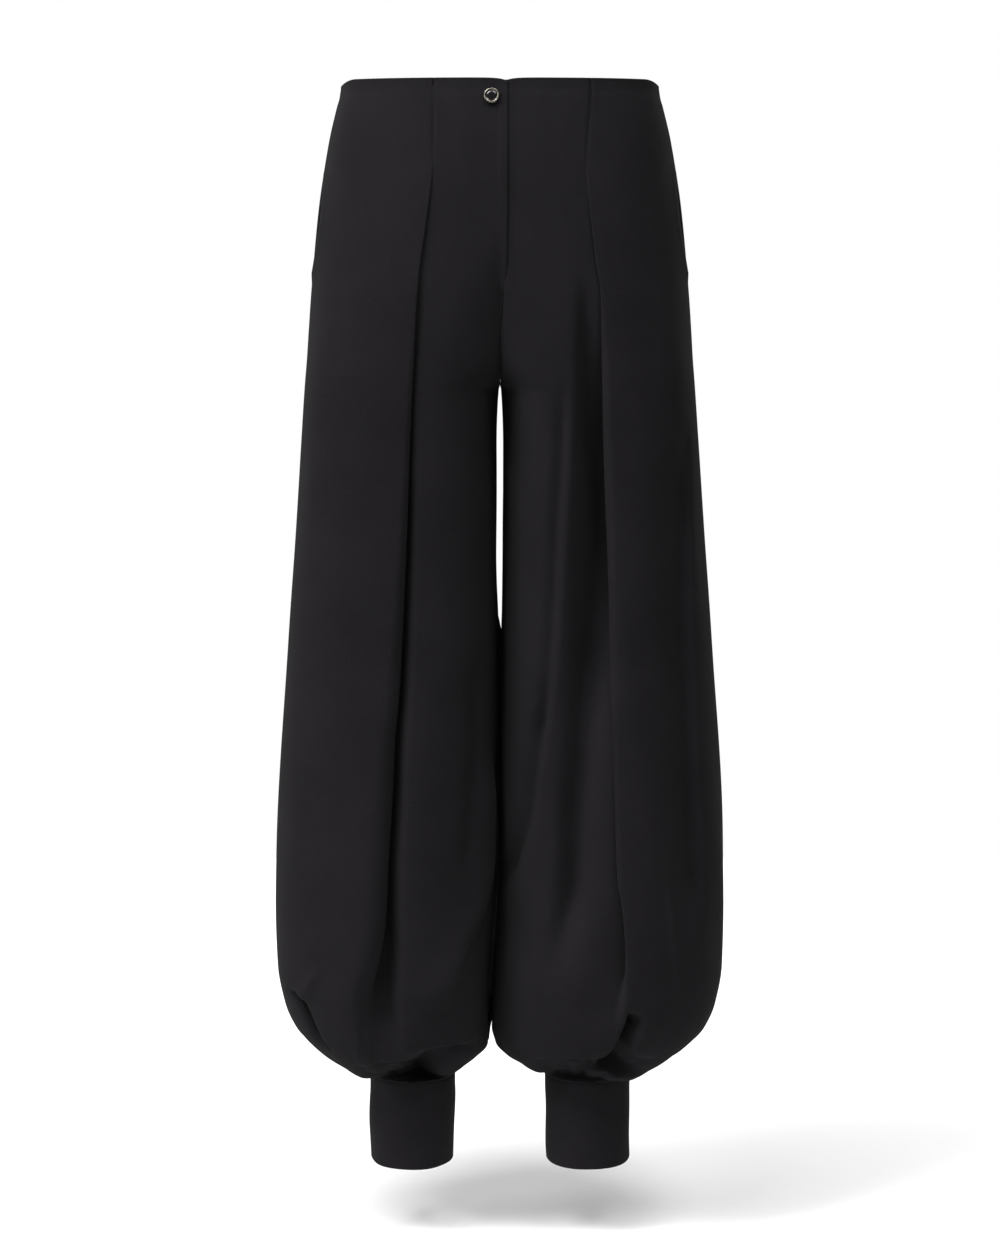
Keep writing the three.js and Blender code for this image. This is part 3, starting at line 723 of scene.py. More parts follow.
# The folds of each leg and face. A row gives the path, the widths towards the middle and away from it, the
# depth, how far it fades in from its top and out at its foot, and the lean of its lip where it has one.
FOLDS: dict[tuple[Leg, Face], tuple[tuple[Rows | float, ...], ...]] = {
    (Leg.RIGHT, Face.FRONT): (
        # A soft trough inside the pleat and the ridge beside it, the pleat's tail, the fold low on the side
        (((-530, -22), (-600, -22), (-660, -23), (-720, -28), (-790, -32)), 8, 11, 4.5, 80, 50),
        (((-640, -11), (-700, -11), (-760, -12), (-800, -17), (-850, -36), (-925, -60)), 8, 18, -8, 70, 40),
        (((-860, -121), (-885, -128), (-945, -133)), 9, 10, 5, 30, 30),
        (((-898, -208), (-912, -194), (-930, -184), (-943, -177), (-957, -168)), 3, 8, 27, 15, 14, 5),
        (((-860, -178), (-890, -190), (-918, -203)), 6, 6, -2.6, 25, 12),
        # Where the front is drawn in to the cuff
        (((-962, -96), (-976, -96), (-998, -96)), 10, 10, 23, 5, 3),
        (((-950, -50), (-966, -60), (-982, -72), (-998, -78)), 7, 9, 21, 8, 3),
        (((-940, -112), (-966, -117), (-992, -118)), 8, 12, -3.5, 20, 10),
        (((-970, -106), (-984, -102), (-999, -101)), 2.6, 3.4, -7, 7, 3),
        (((-968, -83), (-984, -87), (-999, -90)), 3, 4, -8, 6, 3),
    ),
    (Leg.LEFT, Face.FRONT): (
        # The fine line and the ridge that run down to the inside, and the troughs beside them
        (
            ((-280, 61), (-365, 60), (-423, 56), (-482, 53), (-541, 50), (-600, 45), (-660, 36)),
            8, 4, 5, 60, 40,
        ),
        (((-570, 48), (-600, 45), (-660, 36), (-720, 26), (-770, 13), (-800, 5)), 13, 5, 8, 80, 30),
        (((-300, 69), (-423, 64), (-541, 56.6), (-660, 44), (-770, 32), (-830, 20)), 6, 7, -2.2, 60, 50),
        (
            ((-430, 84), (-482, 84), (-541, 83), (-600, 80), (-660, 76), (-720, 71), (-770, 70),
             (-830, 62), (-890, 54)),
            12, 21, 18, 130, 110,
        ),
        (((-175, 81), (-258, 81), (-306, 81.5), (-423, 82)), 6, 8, 8, 90, 110),
        # The fold by the side, a soft ridge below it, the deep fold beside the cuff
        (
            ((-330, 183), (-423, 184), (-482, 183), (-541, 184), (-600, 188), (-660, 190),
             (-720, 193.5), (-770, 196.5), (-830, 199)),
            26, 5.5, 12, 80, 50,
        ),
        (((-760, 166), (-830, 171.6), (-905, 176)), 5, 6, -2.6, 40, 30),
        (((-908, 130), (-928, 123), (-950, 115), (-967, 108), (-985, 104)), 4, 10, 33, 20, 8, 6),
        # Where the front is drawn in to the cuff
        (((-960, 84), (-974, 81), (-998, 80)), 10, 10, 23, 6, 3),
        (((-962, 47), (-985, 52), (-998, 54)), 4, 5, 6, 8, 3),
        (((-966, 92), (-983, 89), (-999, 89)), 3, 4, -8, 6, 3),
        (((-970, 71), (-985, 74), (-999, 75)), 2.6, 3.2, -7, 7, 3),
    ),
    (Leg.RIGHT, Face.BACK): (
        (((-260, -82), (-560, -90), (-900, -104)), 14, 17, 7, 120, 90),
        (((-480, -150), (-700, -162), (-930, -150)), 7, 15, 8, 100, 70, 3),
        (((-620, -44), (-780, -50), (-940, -66)), 12, 14, 4, 80, 60),
        (((-506, -9), (-660, -10.5), (-770, -11), (-885, -18), (-968, -21)), 19, 19, -11.5, 55, 40),
        (((-945, -84), (-970, -88), (-997, -92)), 6, 8, 12, 20, 4),
        (((-930, -140), (-965, -128), (-994, -118)), 5, 9, 11, 20, 6, 4),
    ),
    (Leg.LEFT, Face.BACK): (
        (((-250, 88), (-600, 97), (-910, 112)), 14, 16, 7, 120, 90),
        (((-540, 40), (-740, 48), (-935, 70)), 13, 14, 5, 80, 60),
        (((-430, 158), (-660, 168), (-900, 160)), 14, 7, 7, 100, 70),
        (((-940, 70), (-968, 76), (-997, 80)), 7, 7, 12, 20, 4),
        (((-920, 152), (-960, 134), (-992, 116)), 5, 9, 12, 20, 6, 4),
    ),
}
CREASES = tuple(Crease(leg, face, *row) for (leg, face), rows in FOLDS.items() for row in rows)


@dataclass(frozen=True)
class Crowding:
    """How a panel's columns crowd towards the middle above the crotch, where the panel is narrower."""

    start: float = 150.0
    power: float = 3.0
    most: float = 1.45

    def lengths(self, share: Array, span: Array, crotch_span: float, z: Array) -> Array:
        """Where each column lies.

        Args:
            share: 0 at the panel's outer part and 1 at its seam in the middle.
            span: the panel's length there at each height, as a column.
            crotch_span: that length at the crotch.
            z: the heights.

        Returns:
            Lengths from the outer part, a row for each height.
        """
        level = z[:, None]
        wanted = span + (crotch_span - span) * rise(-level, self.start, -CROTCH)
        even = np.where(level > CROTCH, np.minimum(wanted, span * self.most), span)
        return share * even + (span - even) * share**self.power


@dataclass(frozen=True)
class ClothThickness:
    """The shell's thickness, in the cloth and where an edge is turned."""

    plain: float = 0.7
    turned: float = 1.5
    hem: float = 9.0
    fade: float = 1.5


@dataclass(frozen=True)
class CentreHollow:
    """The hollow down the middle of the front, where the fly's edge and the centre seam lie.

    The rows give the height, the depth of a narrow groove and the depth of a wide hollow round it.
    """

    rows: Rows = (
        (-80, 0, 0), (-140, 1.2, 0.5), (-200, 3.0, 3), (-250, 4.0, 6), (-292, 4.0, 6.5), (-306, 3.5, 6),
        (-345, 1.5, 3.5), (-400, 0, 0),
    )
    narrow: float = 8.0
    wide: float = 30.0

    def depth(self, z: Array, distance: Array) -> Array:
        """How far back the cloth lies.

        Args:
            z: heights.
            distance: lengths from the middle, a row for each height.

        Returns:
            The depths, of the shape of distance.
        """
        groove, broad = (Curve(self.rows, column).at(z)[:, None] for column in (1, 2))
        return groove * np.exp(-distance / self.narrow) + broad * np.exp(-((distance / self.wide) ** 2))


@dataclass
class LegCloth:
    """The front and back panels of one leg.

    Stretches are the foot of each stretch of rows, from the waist down, and how many steps it takes.
    """

    STRETCHES = (
        (-3, 4), (-24, 8), (-72, 12), (-110, 16), (-270, 42), (-330, 26), (-860, 90), (-950, 44), (-999, 52),
    )

    leg: Leg
    form: BodyForm
    pleat: Pleat
    gathers: Gathers = field(default_factory=Gathers)
    drape: Drape = field(default_factory=Drape)
    crowding: Crowding = field(default_factory=Crowding)
    thickness: ClothThickness = field(default_factory=ClothThickness)
    inner_columns: int = 50
    outer_columns: int = 72
    back_columns: int = 146
    pocket: Rows = ((-72, 0), (-90, 6), (-110, 14), (-140, 18), (-175, 12), (-203, 0))
    pocket_lift: float = 1.6
    pocket_reach: float = 14.0
    pocket_begun: float = 6.0
    pocket_turned: float = 7.0
    lap: float = 2.2
    lap_lift: float = 0.25
    lap_reach: float = 24.0
    lap_past: float = 4.0
    lap_fade: float = 22.0
    set_back: float = 1.7
    fly_turned: float = 8.0
    hollow: CentreHollow = field(default_factory=CentreHollow)
    hollow_from: float = 15.0
    hollow_to: float = 60.0
    notch_depth: float = 3.4
    notch_reach: float = 6.0
    notch_drop: float = 12.0
    tuck_depth: float = 1.1
    tuck_width: float = 1.4
    tuck_above: float = 30.0
    tuck_below: float = 12.0
    ditch_depth: float = 0.75
    ditch_width: float = 1.3
    dart_x: float = 74.0
    dart_drop: float = 118.0
    dart_fade: float = 12.0
    dart_depth: float = 1.0
    dart_width: float = 1.3
    corner_from: float = 140.0
    corner_span: float = 16.0
    corner_most: float = 1.1
    corner_drop: float = 6.0
    corner_foot: float = 60.0

    def __post_init__(self) -> None:
        """Works out the surface at every height of the panels."""
        self.z = self.levels()
        self.surface = LegSurface(self.form, self.leg, self.z)
        self.crotch = LegSections(self.form, self.leg, np.array([CROTCH]))

    def levels(self) -> Array:
        """Sets the panels' rows.

        Returns:
            Their heights from the waist down, closest where the cloth is gathered.
        """
        heights = [WAIST_EDGE]
        for foot, steps in self.STRETCHES:
            heights.extend(np.linspace(heights[-1], foot, steps + 1)[1:])
        return np.array(heights)

    def relief(self, length: Array) -> tuple[Array, Array]:
        """Adds up all the folds.

        Args:
            length: lengths along the sections.

        Returns:
            How far they move the cloth out, and how far along its sections.
        """
        out = self.gathers.offset(self.surface, length) + self.drape.offset(self.surface, length)
        along = np.zeros_like(length)
        for crease in CREASES:
            raised, leaned = crease.moves(self.surface, length)
            out += raised
            along += leaned
        return out, along

    def ditch(self, distance: Array) -> Array:
        """How far a seam draws the cloth in at a distance from it."""
        return -self.ditch_depth * np.exp(-((distance / self.ditch_width) ** 2))

    def front_grid(self) -> tuple[Array, Array]:
        """Where the front panel's columns lie, with the pleat folded.

        Returns:
            Lengths along the sections, and how far out the pleat moves the cloth.
        """
        here, z, pleat = self.surface.here, self.z, self.pleat
        edge = pleat.edge(self.surface)
        along, depth = pleat.section(z)
        under, over = edge + along[:, :1], edge + along[:, -1:]
        crotch_surface = LegSurface(self.form, self.leg, np.array([CROTCH]))
        crotch_along, _ = pleat.section(np.array([CROTCH]))
        crotch_span = float((pleat.edge(crotch_surface) + crotch_along[:, :1])[0, 0]) - SEAM_GAP / 2
        setback = self.form.side_seam_forward + Curve(self.pocket).at(z)[:, None]
        first, last = SEAM_GAP / 2, here.side - setback - SEAM_GAP / 2
        share = 1 - np.arange(self.inner_columns)[None, :] / self.inner_columns
        inner = under - self.crowding.lengths(share, under - first, crotch_span, z)
        outer = over + (last - over) * np.arange(1, self.outer_columns + 1)[None, :] / self.outer_columns
        height = -depth[:, :1]
        sink, reach, slope = (Curve(pleat.valley, column).at(z)[:, None] for column in (1, 2, 3))
        lift = (1 - pleat.in_share) * height
        sunk = -pleat.in_share * height * rise(inner, under - pleat.in_reach, under)
        sunk = sunk - sink * rise(inner, under - reach, under - reach + slope)
        across = np.linspace(0, 1, depth.shape[1])[None, :]
        line = depth + lift - sink * (1 - across) - pleat.rolled(np.zeros_like(depth), z) * across
        raised = lift * (1 - rise(outer, over, over + pleat.out_reach)) - pleat.rolled(outer - over, z)
        length = np.concatenate((inner, edge + along, outer), axis=1)
        opened = rise(-z, -PLEAT_RELEASE - self.tuck_above, -PLEAT_RELEASE + self.tuck_below)[:, None]
        groove = self.tuck_depth * (1 - opened) * np.exp(-(((length - edge) / self.tuck_width) ** 2))
        return length, np.concatenate((sunk, line, raised), axis=1) - groove

    def front(self) -> Shell:
        """Lays the front panel.

        Returns:
            Its shell, from the centre front to the side seam.
        """
        length, extra = self.front_grid()
        z = self.z[:, None]
        from_first, from_last = length - length[:, :1], length[:, -1:] - length
        pocket = Curve(self.pocket).at(self.z)[:, None]
        mouth = np.clip(pocket / self.pocket_begun, 0, 1)
        fly = (z > FLY_END - self.lap_past) * 1.0
        side_ditch = self.ditch(from_last) * (1 - mouth)
        middle_ditch = self.ditch(from_first) * (1 - fly)
        lifted = self.pocket_lift * mouth * np.exp(-((from_last / self.pocket_reach) ** 2))
        folded, leaned = self.relief(length)
        offset = extra + folded + side_ditch + middle_ditch + lifted
        points = self.surface.cloth(length + leaned, offset)
        edge = self.leg.value * Curve(self.form.centre_front).at(self.z)[:, None]
        nearest = np.where(z > CROTCH, edge + SEAM_GAP / 2, -np.inf)
        points[:, :, 0] = self.leg.value * np.maximum(self.leg.value * points[:, :, 0], nearest)
        lapped = rise(z, FLY_END - self.lap_past, FLY_END + self.lap_fade)
        near_fly = fly * np.exp(-((from_first / self.lap_reach) ** 2)) * lapped
        if self.leg is Leg.RIGHT:
            points[:, :, 0] += self.lap * near_fly
            points[:, :, 1] -= self.lap_lift * near_fly
        else:
            points[:, :, 1] += self.set_back * near_fly
        ahead = np.where(z > CROTCH, 1.0, rise(-points[:, :, 1], self.hollow_from, self.hollow_to))
        points[:, :, 1] += self.hollow.depth(self.z, np.abs(points[:, :, 0])) * ahead
        notch = self.notch_depth * np.exp(-from_first / self.notch_reach) * (1 - rise(-z, 0, self.notch_drop))
        points[:, :, 2] -= notch
        turned = np.maximum(fly * (from_first < self.fly_turned), mouth * (from_last < self.pocket_turned))
        self.finish_waist(points)
        return Shell(f"front_cloth_{self.leg.label}", points, self.shell_thickness(z, turned), self.leg.value)

    def back(self) -> Shell:
        """Lays the back panel.

        Returns:
            Its shell, from the side seam to the centre back.
        """
        here, z = self.surface.here, self.z[:, None]
        forward = self.form.side_seam_forward
        span = here.total - here.side + forward - SEAM_GAP
        crotch_span = float(self.crotch.total[0, 0] - self.crotch.side[0, 0]) + forward - SEAM_GAP
        share = np.arange(self.back_columns + 1)[None, :] / self.back_columns
        length = here.side - forward + SEAM_GAP / 2 + self.crowding.lengths(share, span, crotch_span, self.z)
        from_first, from_last = length - length[:, :1], length[:, -1:] - length
        dart = self.surface.here.length_at_x(np.full_like(self.z, self.dart_x), Face.BACK)
        stitched = 1 - rise(-z, self.dart_drop - self.dart_fade, self.dart_drop)
        tuck = -self.dart_depth * stitched * np.exp(-(((length - dart) / self.dart_width) ** 2))
        folded, leaned = self.relief(length)
        offset = folded + self.ditch(from_first) + self.ditch(from_last) + tuck
        points = self.surface.cloth(length + leaned, offset)
        nearest = np.where(z > CROTCH, SEAM_GAP / 2, -np.inf)
        points[:, :, 0] = self.leg.value * np.maximum(self.leg.value * points[:, :, 0], nearest)
        self.finish_waist(points)
        thickness = self.shell_thickness(z, np.zeros_like(length))
        return Shell(f"back_cloth_{self.leg.label}", points, thickness, self.leg.value)

    def shell_thickness(self, z: Array, turned: Array) -> Array:
        """The shell's thickness at each point.

        Args:
            z: heights, as a column.
            turned: 1 where the cloth is turned under at an edge and 0 elsewhere.

        Returns:
            The thickness, of the shape of turned.
        """
        hem = 1 - rise(-z, self.thickness.hem - self.thickness.fade, self.thickness.hem)
        doubled = np.maximum(turned, hem)
        return self.thickness.plain + (self.thickness.turned - self.thickness.plain) * doubled

    def finish_waist(self, points: Array) -> None:
        """Sets the ends exactly level, and rounds the waist's corners at the sides.

        Args:
            points: the panel's grid, which is changed.
        """
        points[0, :, 2] += WAIST_EDGE - points[0, :, 2].max()
        points[-1, :, 2] = CUFF_SEAM
        corner = np.clip((np.abs(points[:, :, 0]) - self.corner_from) / self.corner_span, 0, self.corner_most)
        points[:, :, 2] -= self.corner_drop * corner**2 * (1 - rise(-points[:, :, 2], 0, self.corner_foot))


def trim_row(surface: LegSurface, length: Array, offset: Array) -> Array:
    """Points of a piece behind the cloth, one layer in."""
    return surface.cloth(length, offset - UNDER_STEP)


@dataclass
class PocketFacing:
    """The cloth that shows in a pocket mouth."""

    leg: Leg
    form: BodyForm
    forward: float = 28.0
    behind: float = 10.0
    top: float = -64.0
    foot: float = -214.0
    columns: int = 24
    rows: int = 60

    def build(self) -> Item:
        """Makes the facing's shell.

        Returns:
            The new object.
        """
        z = np.linspace(self.top, self.foot, self.rows)
        surface = LegSurface(self.form, self.leg, z)
        seam = surface.here.side - self.form.side_seam_forward
        share = np.linspace(0, 1, self.columns)[None, :]
        length = seam - self.forward + (self.forward + self.behind) * share
        points = trim_row(surface, length, np.zeros_like(length))
        thickness = np.full(length.shape, UNDER_CLOTH)
        return Shell(f"pocket_facing_cloth_{self.leg.label}", points, thickness, self.leg.value).build()


@dataclass
class FlyShield:
    """The strip behind the fly, sewn to the left front and reaching under the right front."""

    form: BodyForm
    right_edge: float = -32.0
    left_edge: float = 14.0
    top: float = -1.5
    foot: float = -196.0
    behind: float = 0.5
    hollow: CentreHollow = field(default_factory=CentreHollow)
    columns: int = 30
    rows: int = 70

    def build(self) -> Item:
        """Makes the shield's shell, across the middle from one leg's surface to the other's.

        Returns:
            The new object.
        """
        z = np.linspace(self.top, self.foot, self.rows)
        x = np.linspace(self.right_edge, self.left_edge, self.columns)
        edge = Curve(self.form.centre_front).at(z)
        points = np.empty((self.rows, self.columns, 3))
        sides = {leg: LegSurface(self.form, leg, z) for leg in Leg}
        for c, across in enumerate(x):
            for leg, surface in sides.items():
                pleat = RIGHT_PLEAT if leg is Leg.RIGHT else LEFT_PLEAT
                along, depth = pleat.section(z)
                under = pleat.edge(surface) + along[:, :1]
                length = surface.here.length_at_x(np.full_like(z, leg.value * across), Face.FRONT)
                sunk = pleat.in_share * depth[:, :1] * rise(length, under - pleat.in_reach, under)
                column = trim_row(surface, length, sunk)[:, 0, :]
                mine = (across < edge) if leg is Leg.RIGHT else (across >= edge)
                points[mine, c] = column[mine]
        points[:, :, 1] += self.behind + self.hollow.depth(z, np.abs(x[None, :] - edge[:, None]))
        return Shell("fly_shield_cloth", points, np.full(points.shape[:2], UNDER_CLOTH), 1).build()


@dataclass
class Cuff:
    """A plain ankle band of doubled cloth.

    Levels are shares of its height with a number of rows. The rounding of the folded edge is its depth,
    start and span, the tuck under the gathers its depth and span, and the seam its depth and width.
    """

    leg: Leg
    wall: float = 2.2
    top_out: float = 133.3
    top_inner: float = 45.6
    top_depth: float = 46.5
    edge_out: float = 133.5
    edge_inner: float = 47.8
    edge_depth: float = 46.0
    squareness: float = 2.15
    around: int = 168
    levels: Rows = ((0, 0.06, 10), (0.06, 0.93, 36), (0.93, 1, 14))
    cloth: float = 1.9
    ripple: float = 0.35
    ripples: int = 9
    ripple_turns: tuple[int, int] = (1, 7)
    ripple_down: Pair = (3.0, 9.0)
    ripple_grows: Pair = (0.02, 0.3)
    rounding: Triple = (0.55, 0.985, 0.015)
    tuck: Pair = (0.8, 0.018)
    seam: Pair = (0.5, 0.8)
    seed: int = 23

    def build(self) -> Item:
        """Makes the band's shell, drawn in at the seam and rounded at its folded lower edge.

        Returns:
            The new object.
        """
        top, body, foot = (np.linspace(start, end, count) for start, end, count in self.levels)
        down = np.concatenate((top[:-1], body, foot[1:]))
        share = down[:, None]
        z = (CUFF_SEAM - SEAM_GAP) + (CUFF_EDGE - CUFF_SEAM + SEAM_GAP) * share
        out = self.top_out + (self.edge_out - self.top_out) * share
        inner = self.top_inner + (self.edge_inner - self.top_inner) * share
        depth = self.top_depth + (self.edge_depth - self.top_depth) * share
        angle = 2 * np.pi * np.arange(self.around)[None, :] / self.around
        across = signed_power(np.cos(angle), 2 / self.squareness)
        along = signed_power(np.sin(angle), 2 / self.squareness)
        draw = np.random.default_rng(self.seed + self.leg.value)
        wave = np.zeros((len(down), self.around))
        for _ in range(self.ripples):
            turns = draw.integers(*self.ripple_turns)
            phase = draw.uniform(0, 2 * np.pi, 2)
            down_turns = draw.uniform(*self.ripple_down)
            wave += np.sin(turns * angle + phase[0]) * np.sin(down_turns * share + phase[1])
        wave *= self.ripple * rise(share, *self.ripple_grows)
        round_depth, round_start, round_span = self.rounding
        rounded = round_depth * np.clip((share - round_start) / round_span, 0, 1) ** 2
        tucked = self.tuck[0] * np.exp(-((share / self.tuck[1]) ** 2))
        from_seam = self.around / 2 - np.abs(np.arange(self.around) - self.around / 2)
        seam = self.seam[0] * np.exp(-((from_seam / self.seam[1]) ** 2))
        grown = wave - rounded - tucked - seam[None, :]
        reach = (out - inner - self.wall) / 2 + grown
        deep = depth - self.wall / 2 + grown
        middle = (out + inner) / 2
        x = self.leg.value * (middle - reach * across)
        points = np.stack((x, -deep * along, np.broadcast_to(z, x.shape)), axis=2)
        thickness = np.full(x.shape, self.cloth)
        return Shell(f"cuff_cloth_{self.leg.label}", points, thickness, self.leg.value, around=True).build()


def mesh_piece(name: str, verts: Sequence[Sequence[float]], faces: Sequence[Sequence[int]]) -> Item:
    """A smooth shaded mesh object.

    Args:
        name: its name.
        verts: points in metres.
        faces: corners of each face, seen from outside anticlockwise.

    Returns:
        The new object.
    """
    mesh = bpy.data.meshes.new(name)
    mesh.from_pydata(verts, [], faces)
    mesh.shade_smooth()
    mesh.validate()
    item = bpy.data.objects.new(name, mesh)
    bpy.context.scene.collection.objects.link(item)
    return item


@dataclass
class Button:
    """The waist button: a metal rim round a glossy dark face, on a short shank."""

    form: BodyForm
    x: float = -8.0
    z: float = -17.0
    stand_off: float = 1.35
    radius: float = 7.4
    around: int = 96

    def place(self) -> Matrix:
        """Finds the button's place.

        Returns:
            Where it sits, with its own axis along +Z of its profile.
        """
        surface = LegSurface(self.form, Leg.RIGHT, np.array([self.z]))
        length = surface.here.length_at_x(np.array([-self.x]), Face.FRONT)
        base = surface.cloth(length, np.zeros_like(length))[0, 0]
        out = surface.cloth(length, np.ones_like(length))[0, 0] - base
        turn = Vector((0, 0, 1)).rotation_difference(Vector(out)).to_matrix().to_4x4()
        return Matrix.Translation(Vector(base + out * self.stand_off) * MM) @ turn

    def lathe(self, name: str, profile: Rows, closed: bool) -> Item:
        """A turned piece of the button.

        Args:
            name: its name.
            profile: rows of radius and height, anticlockwise with the axis on the left.
            closed: whether the profile returns to its start, as a ring's does.

        Returns:
            The new object.
        """
        where = self.place()
        verts: list[Vector] = []
        rings: list[list[int]] = []
        for radius, height in profile:
            if radius == 0:
                rings.append([len(verts)] * self.around)
                verts.append(where @ Vector((0, 0, height * MM)))
                continue
            ring = []
            for i in range(self.around):
                angle = 2 * math.pi * i / self.around
                ring.append(len(verts))
                spot = (radius * MM * math.cos(angle), radius * MM * math.sin(angle), height * MM)
                verts.append(where @ Vector(spot))
            rings.append(ring)
        if closed:
            rings.append(rings[0])
        faces = []
        for low, high in zip(rings, rings[1:]):
            for i in range(self.around):
                j = (i + 1) % self.around
                face = list(dict.fromkeys((low[i], low[j], high[j], high[i])))
                if len(face) > 2:
                    faces.append(face)
        return mesh_piece(name, verts, faces)

    def rim(self) -> Item:
        """Turns the rim: a rounded bead with a fine step inside it.

        Returns:
            The new object.
        """
        r = self.radius
        profile = (
            (5.2, 0.15), (6.6, 0.0), (7.1, 0.15),
            (r, 0.55),
            (r, 1.55),
            (7.25, 2.05), (6.9, 2.42), (6.5, 2.55), (6.15, 2.45), (5.95, 2.15), (5.85, 1.85), (5.7, 1.72),
            (5.5, 1.72), (5.4, 1.6), (5.35, 0.3),
        )
        return self.lathe("button_rim_bead", profile, True)

    def face(self) -> Item:
        """Turns the face: slightly domed, with a shallow groove near its edge.

        Returns:
            The new object.
        """
        profile = (
            (0.0, 0.02), (2.0, -0.5), (2.2, -0.9), (2.6, -0.9), (2.8, -0.3), (4.6, 0.02), (5.15, 0.1),
            (5.3, 0.25), (5.3, 1.4), (5.2, 1.58), (5.0, 1.66), (4.75, 1.66), (4.6, 1.56), (4.45, 1.56),
            (4.3, 1.68), (3.6, 1.82), (2.4, 1.95), (1.2, 2.02), (0.0, 2.04),
        )
        return self.lathe("button_face_disc", profile, False)


class NodeBoard:
    """A material's node tree, with short ways to add and join nodes."""

    def __init__(self, name: str) -> None:
        """Makes an empty material.

        Args:
            name: its name.
        """
        self.material = bpy.data.materials.new(name)
        self.material.use_nodes = True
        self.tree = self.material.node_tree
        self.tree.nodes.clear()
        self.output = self.add("ShaderNodeOutputMaterial")
        self.shader = self.add("ShaderNodeBsdfPrincipled")
        self.join(self.shader.outputs["BSDF"], self.output.inputs["Surface"])

    def add(self, kind: str, **settings: object) -> bpy.types.Node:
        """Adds a node.

        Args:
            kind: its type.
            settings: properties to set on it.

        Returns:
            The node.
        """
        node = self.tree.nodes.new(kind)
        for key, value in settings.items():
            setattr(node, key, value)
        return node

    def join(self, source: Socket, target: Socket) -> None:
        """Links two sockets."""
        self.tree.links.new(source, target)

    def math(self, operation: str, first: object, second: object = 0.0) -> Socket:
        """A Math node.

        Args:
            operation: what it does.
            first: its first socket or number.
            second: its second socket or number.

        Returns:
            Its result.
        """
        node = self.add("ShaderNodeMath", operation=operation)
        for socket, value in zip(node.inputs, (first, second)):
            if isinstance(value, Socket):
                self.join(value, socket)
            else:
                socket.default_value = value
        return node.outputs[0]

    def noise(self, vector: Socket, scale: float, detail: float, rough: float = 0.5) -> Socket:
        """Adds a Noise texture.

        Args:
            vector: where it is read.
            scale: how fine it is.
            detail: how many finer layers it has.
            rough: how strong those layers are.

        Returns:
            Its factor.
        """
        node = self.add("ShaderNodeTexNoise")
        node.inputs["Scale"].default_value = scale
        node.inputs["Detail"].default_value = detail
        node.inputs["Roughness"].default_value = rough
        self.join(vector, node.inputs["Vector"])
        return node.outputs["Fac"]

    def spread(self, value: Socket, low: float, high: float, start: float = 0.0, end: float = 1.0) -> Socket:
        """Maps a range of a value to another.

        Args:
            value: the value.
            low: the result at start.
            high: the result at end.
            start: where the range begins.
            end: where it ends.

        Returns:
            The result.
        """
        node = self.add("ShaderNodeMapRange")
        node.inputs["From Min"].default_value = start
        node.inputs["From Max"].default_value = end
        node.inputs["To Min"].default_value = low
        node.inputs["To Max"].default_value = high
        self.join(value, node.inputs["Value"])
        return node.outputs["Result"]

    def blend(self, factor: Socket, first: object, second: object) -> Socket:
        """Mixes two colours.

        Args:
            factor: the share of the second.
            first: a colour or its socket.
            second: the other colour or its socket.

        Returns:
            The mixed colour.
        """
        node = self.add("ShaderNodeMix", data_type="RGBA")
        self.join(factor, node.inputs[0])
        for socket, value in ((node.inputs[6], first), (node.inputs[7], second)):
            if isinstance(value, Socket):
                self.join(value, socket)
            else:
                socket.default_value = (*value, 1.0)
        return node.outputs[2]

    def paint(self, share: Socket, first: object, second: object) -> None:
        """Gives the shader a base colour mixed from two."""
        self.join(self.blend(share, first, second), self.shader.inputs["Base Color"])

    def roughen(self, value: Socket, low: float, high: float, start: float = 0.3, end: float = 0.7) -> None:
        """Gives the shader a roughness that rises from low to high with a value."""
        self.join(self.spread(value, low, high, start, end), self.shader.inputs["Roughness"])

    def bump(self, height: Socket, distance: float, strength: float = 1.0) -> None:
        """Raises the surface by a height.

        Args:
            height: the height, from 0 to 1.
            distance: what a height of 1 stands for, in metres.
            strength: the share of it that shows.
        """
        node = self.add("ShaderNodeBump")
        node.inputs["Strength"].default_value = strength
        node.inputs["Distance"].default_value = distance
        self.join(height, node.inputs["Height"])
        self.join(node.outputs["Normal"], self.shader.inputs["Normal"])

    def set(self, **values: float | tuple[float, ...]) -> None:
        """Sets numbers on the shader's own sockets, with _ in a name for a space."""
        for key, value in values.items():
            self.shader.inputs[key.replace("_", " ")].default_value = value


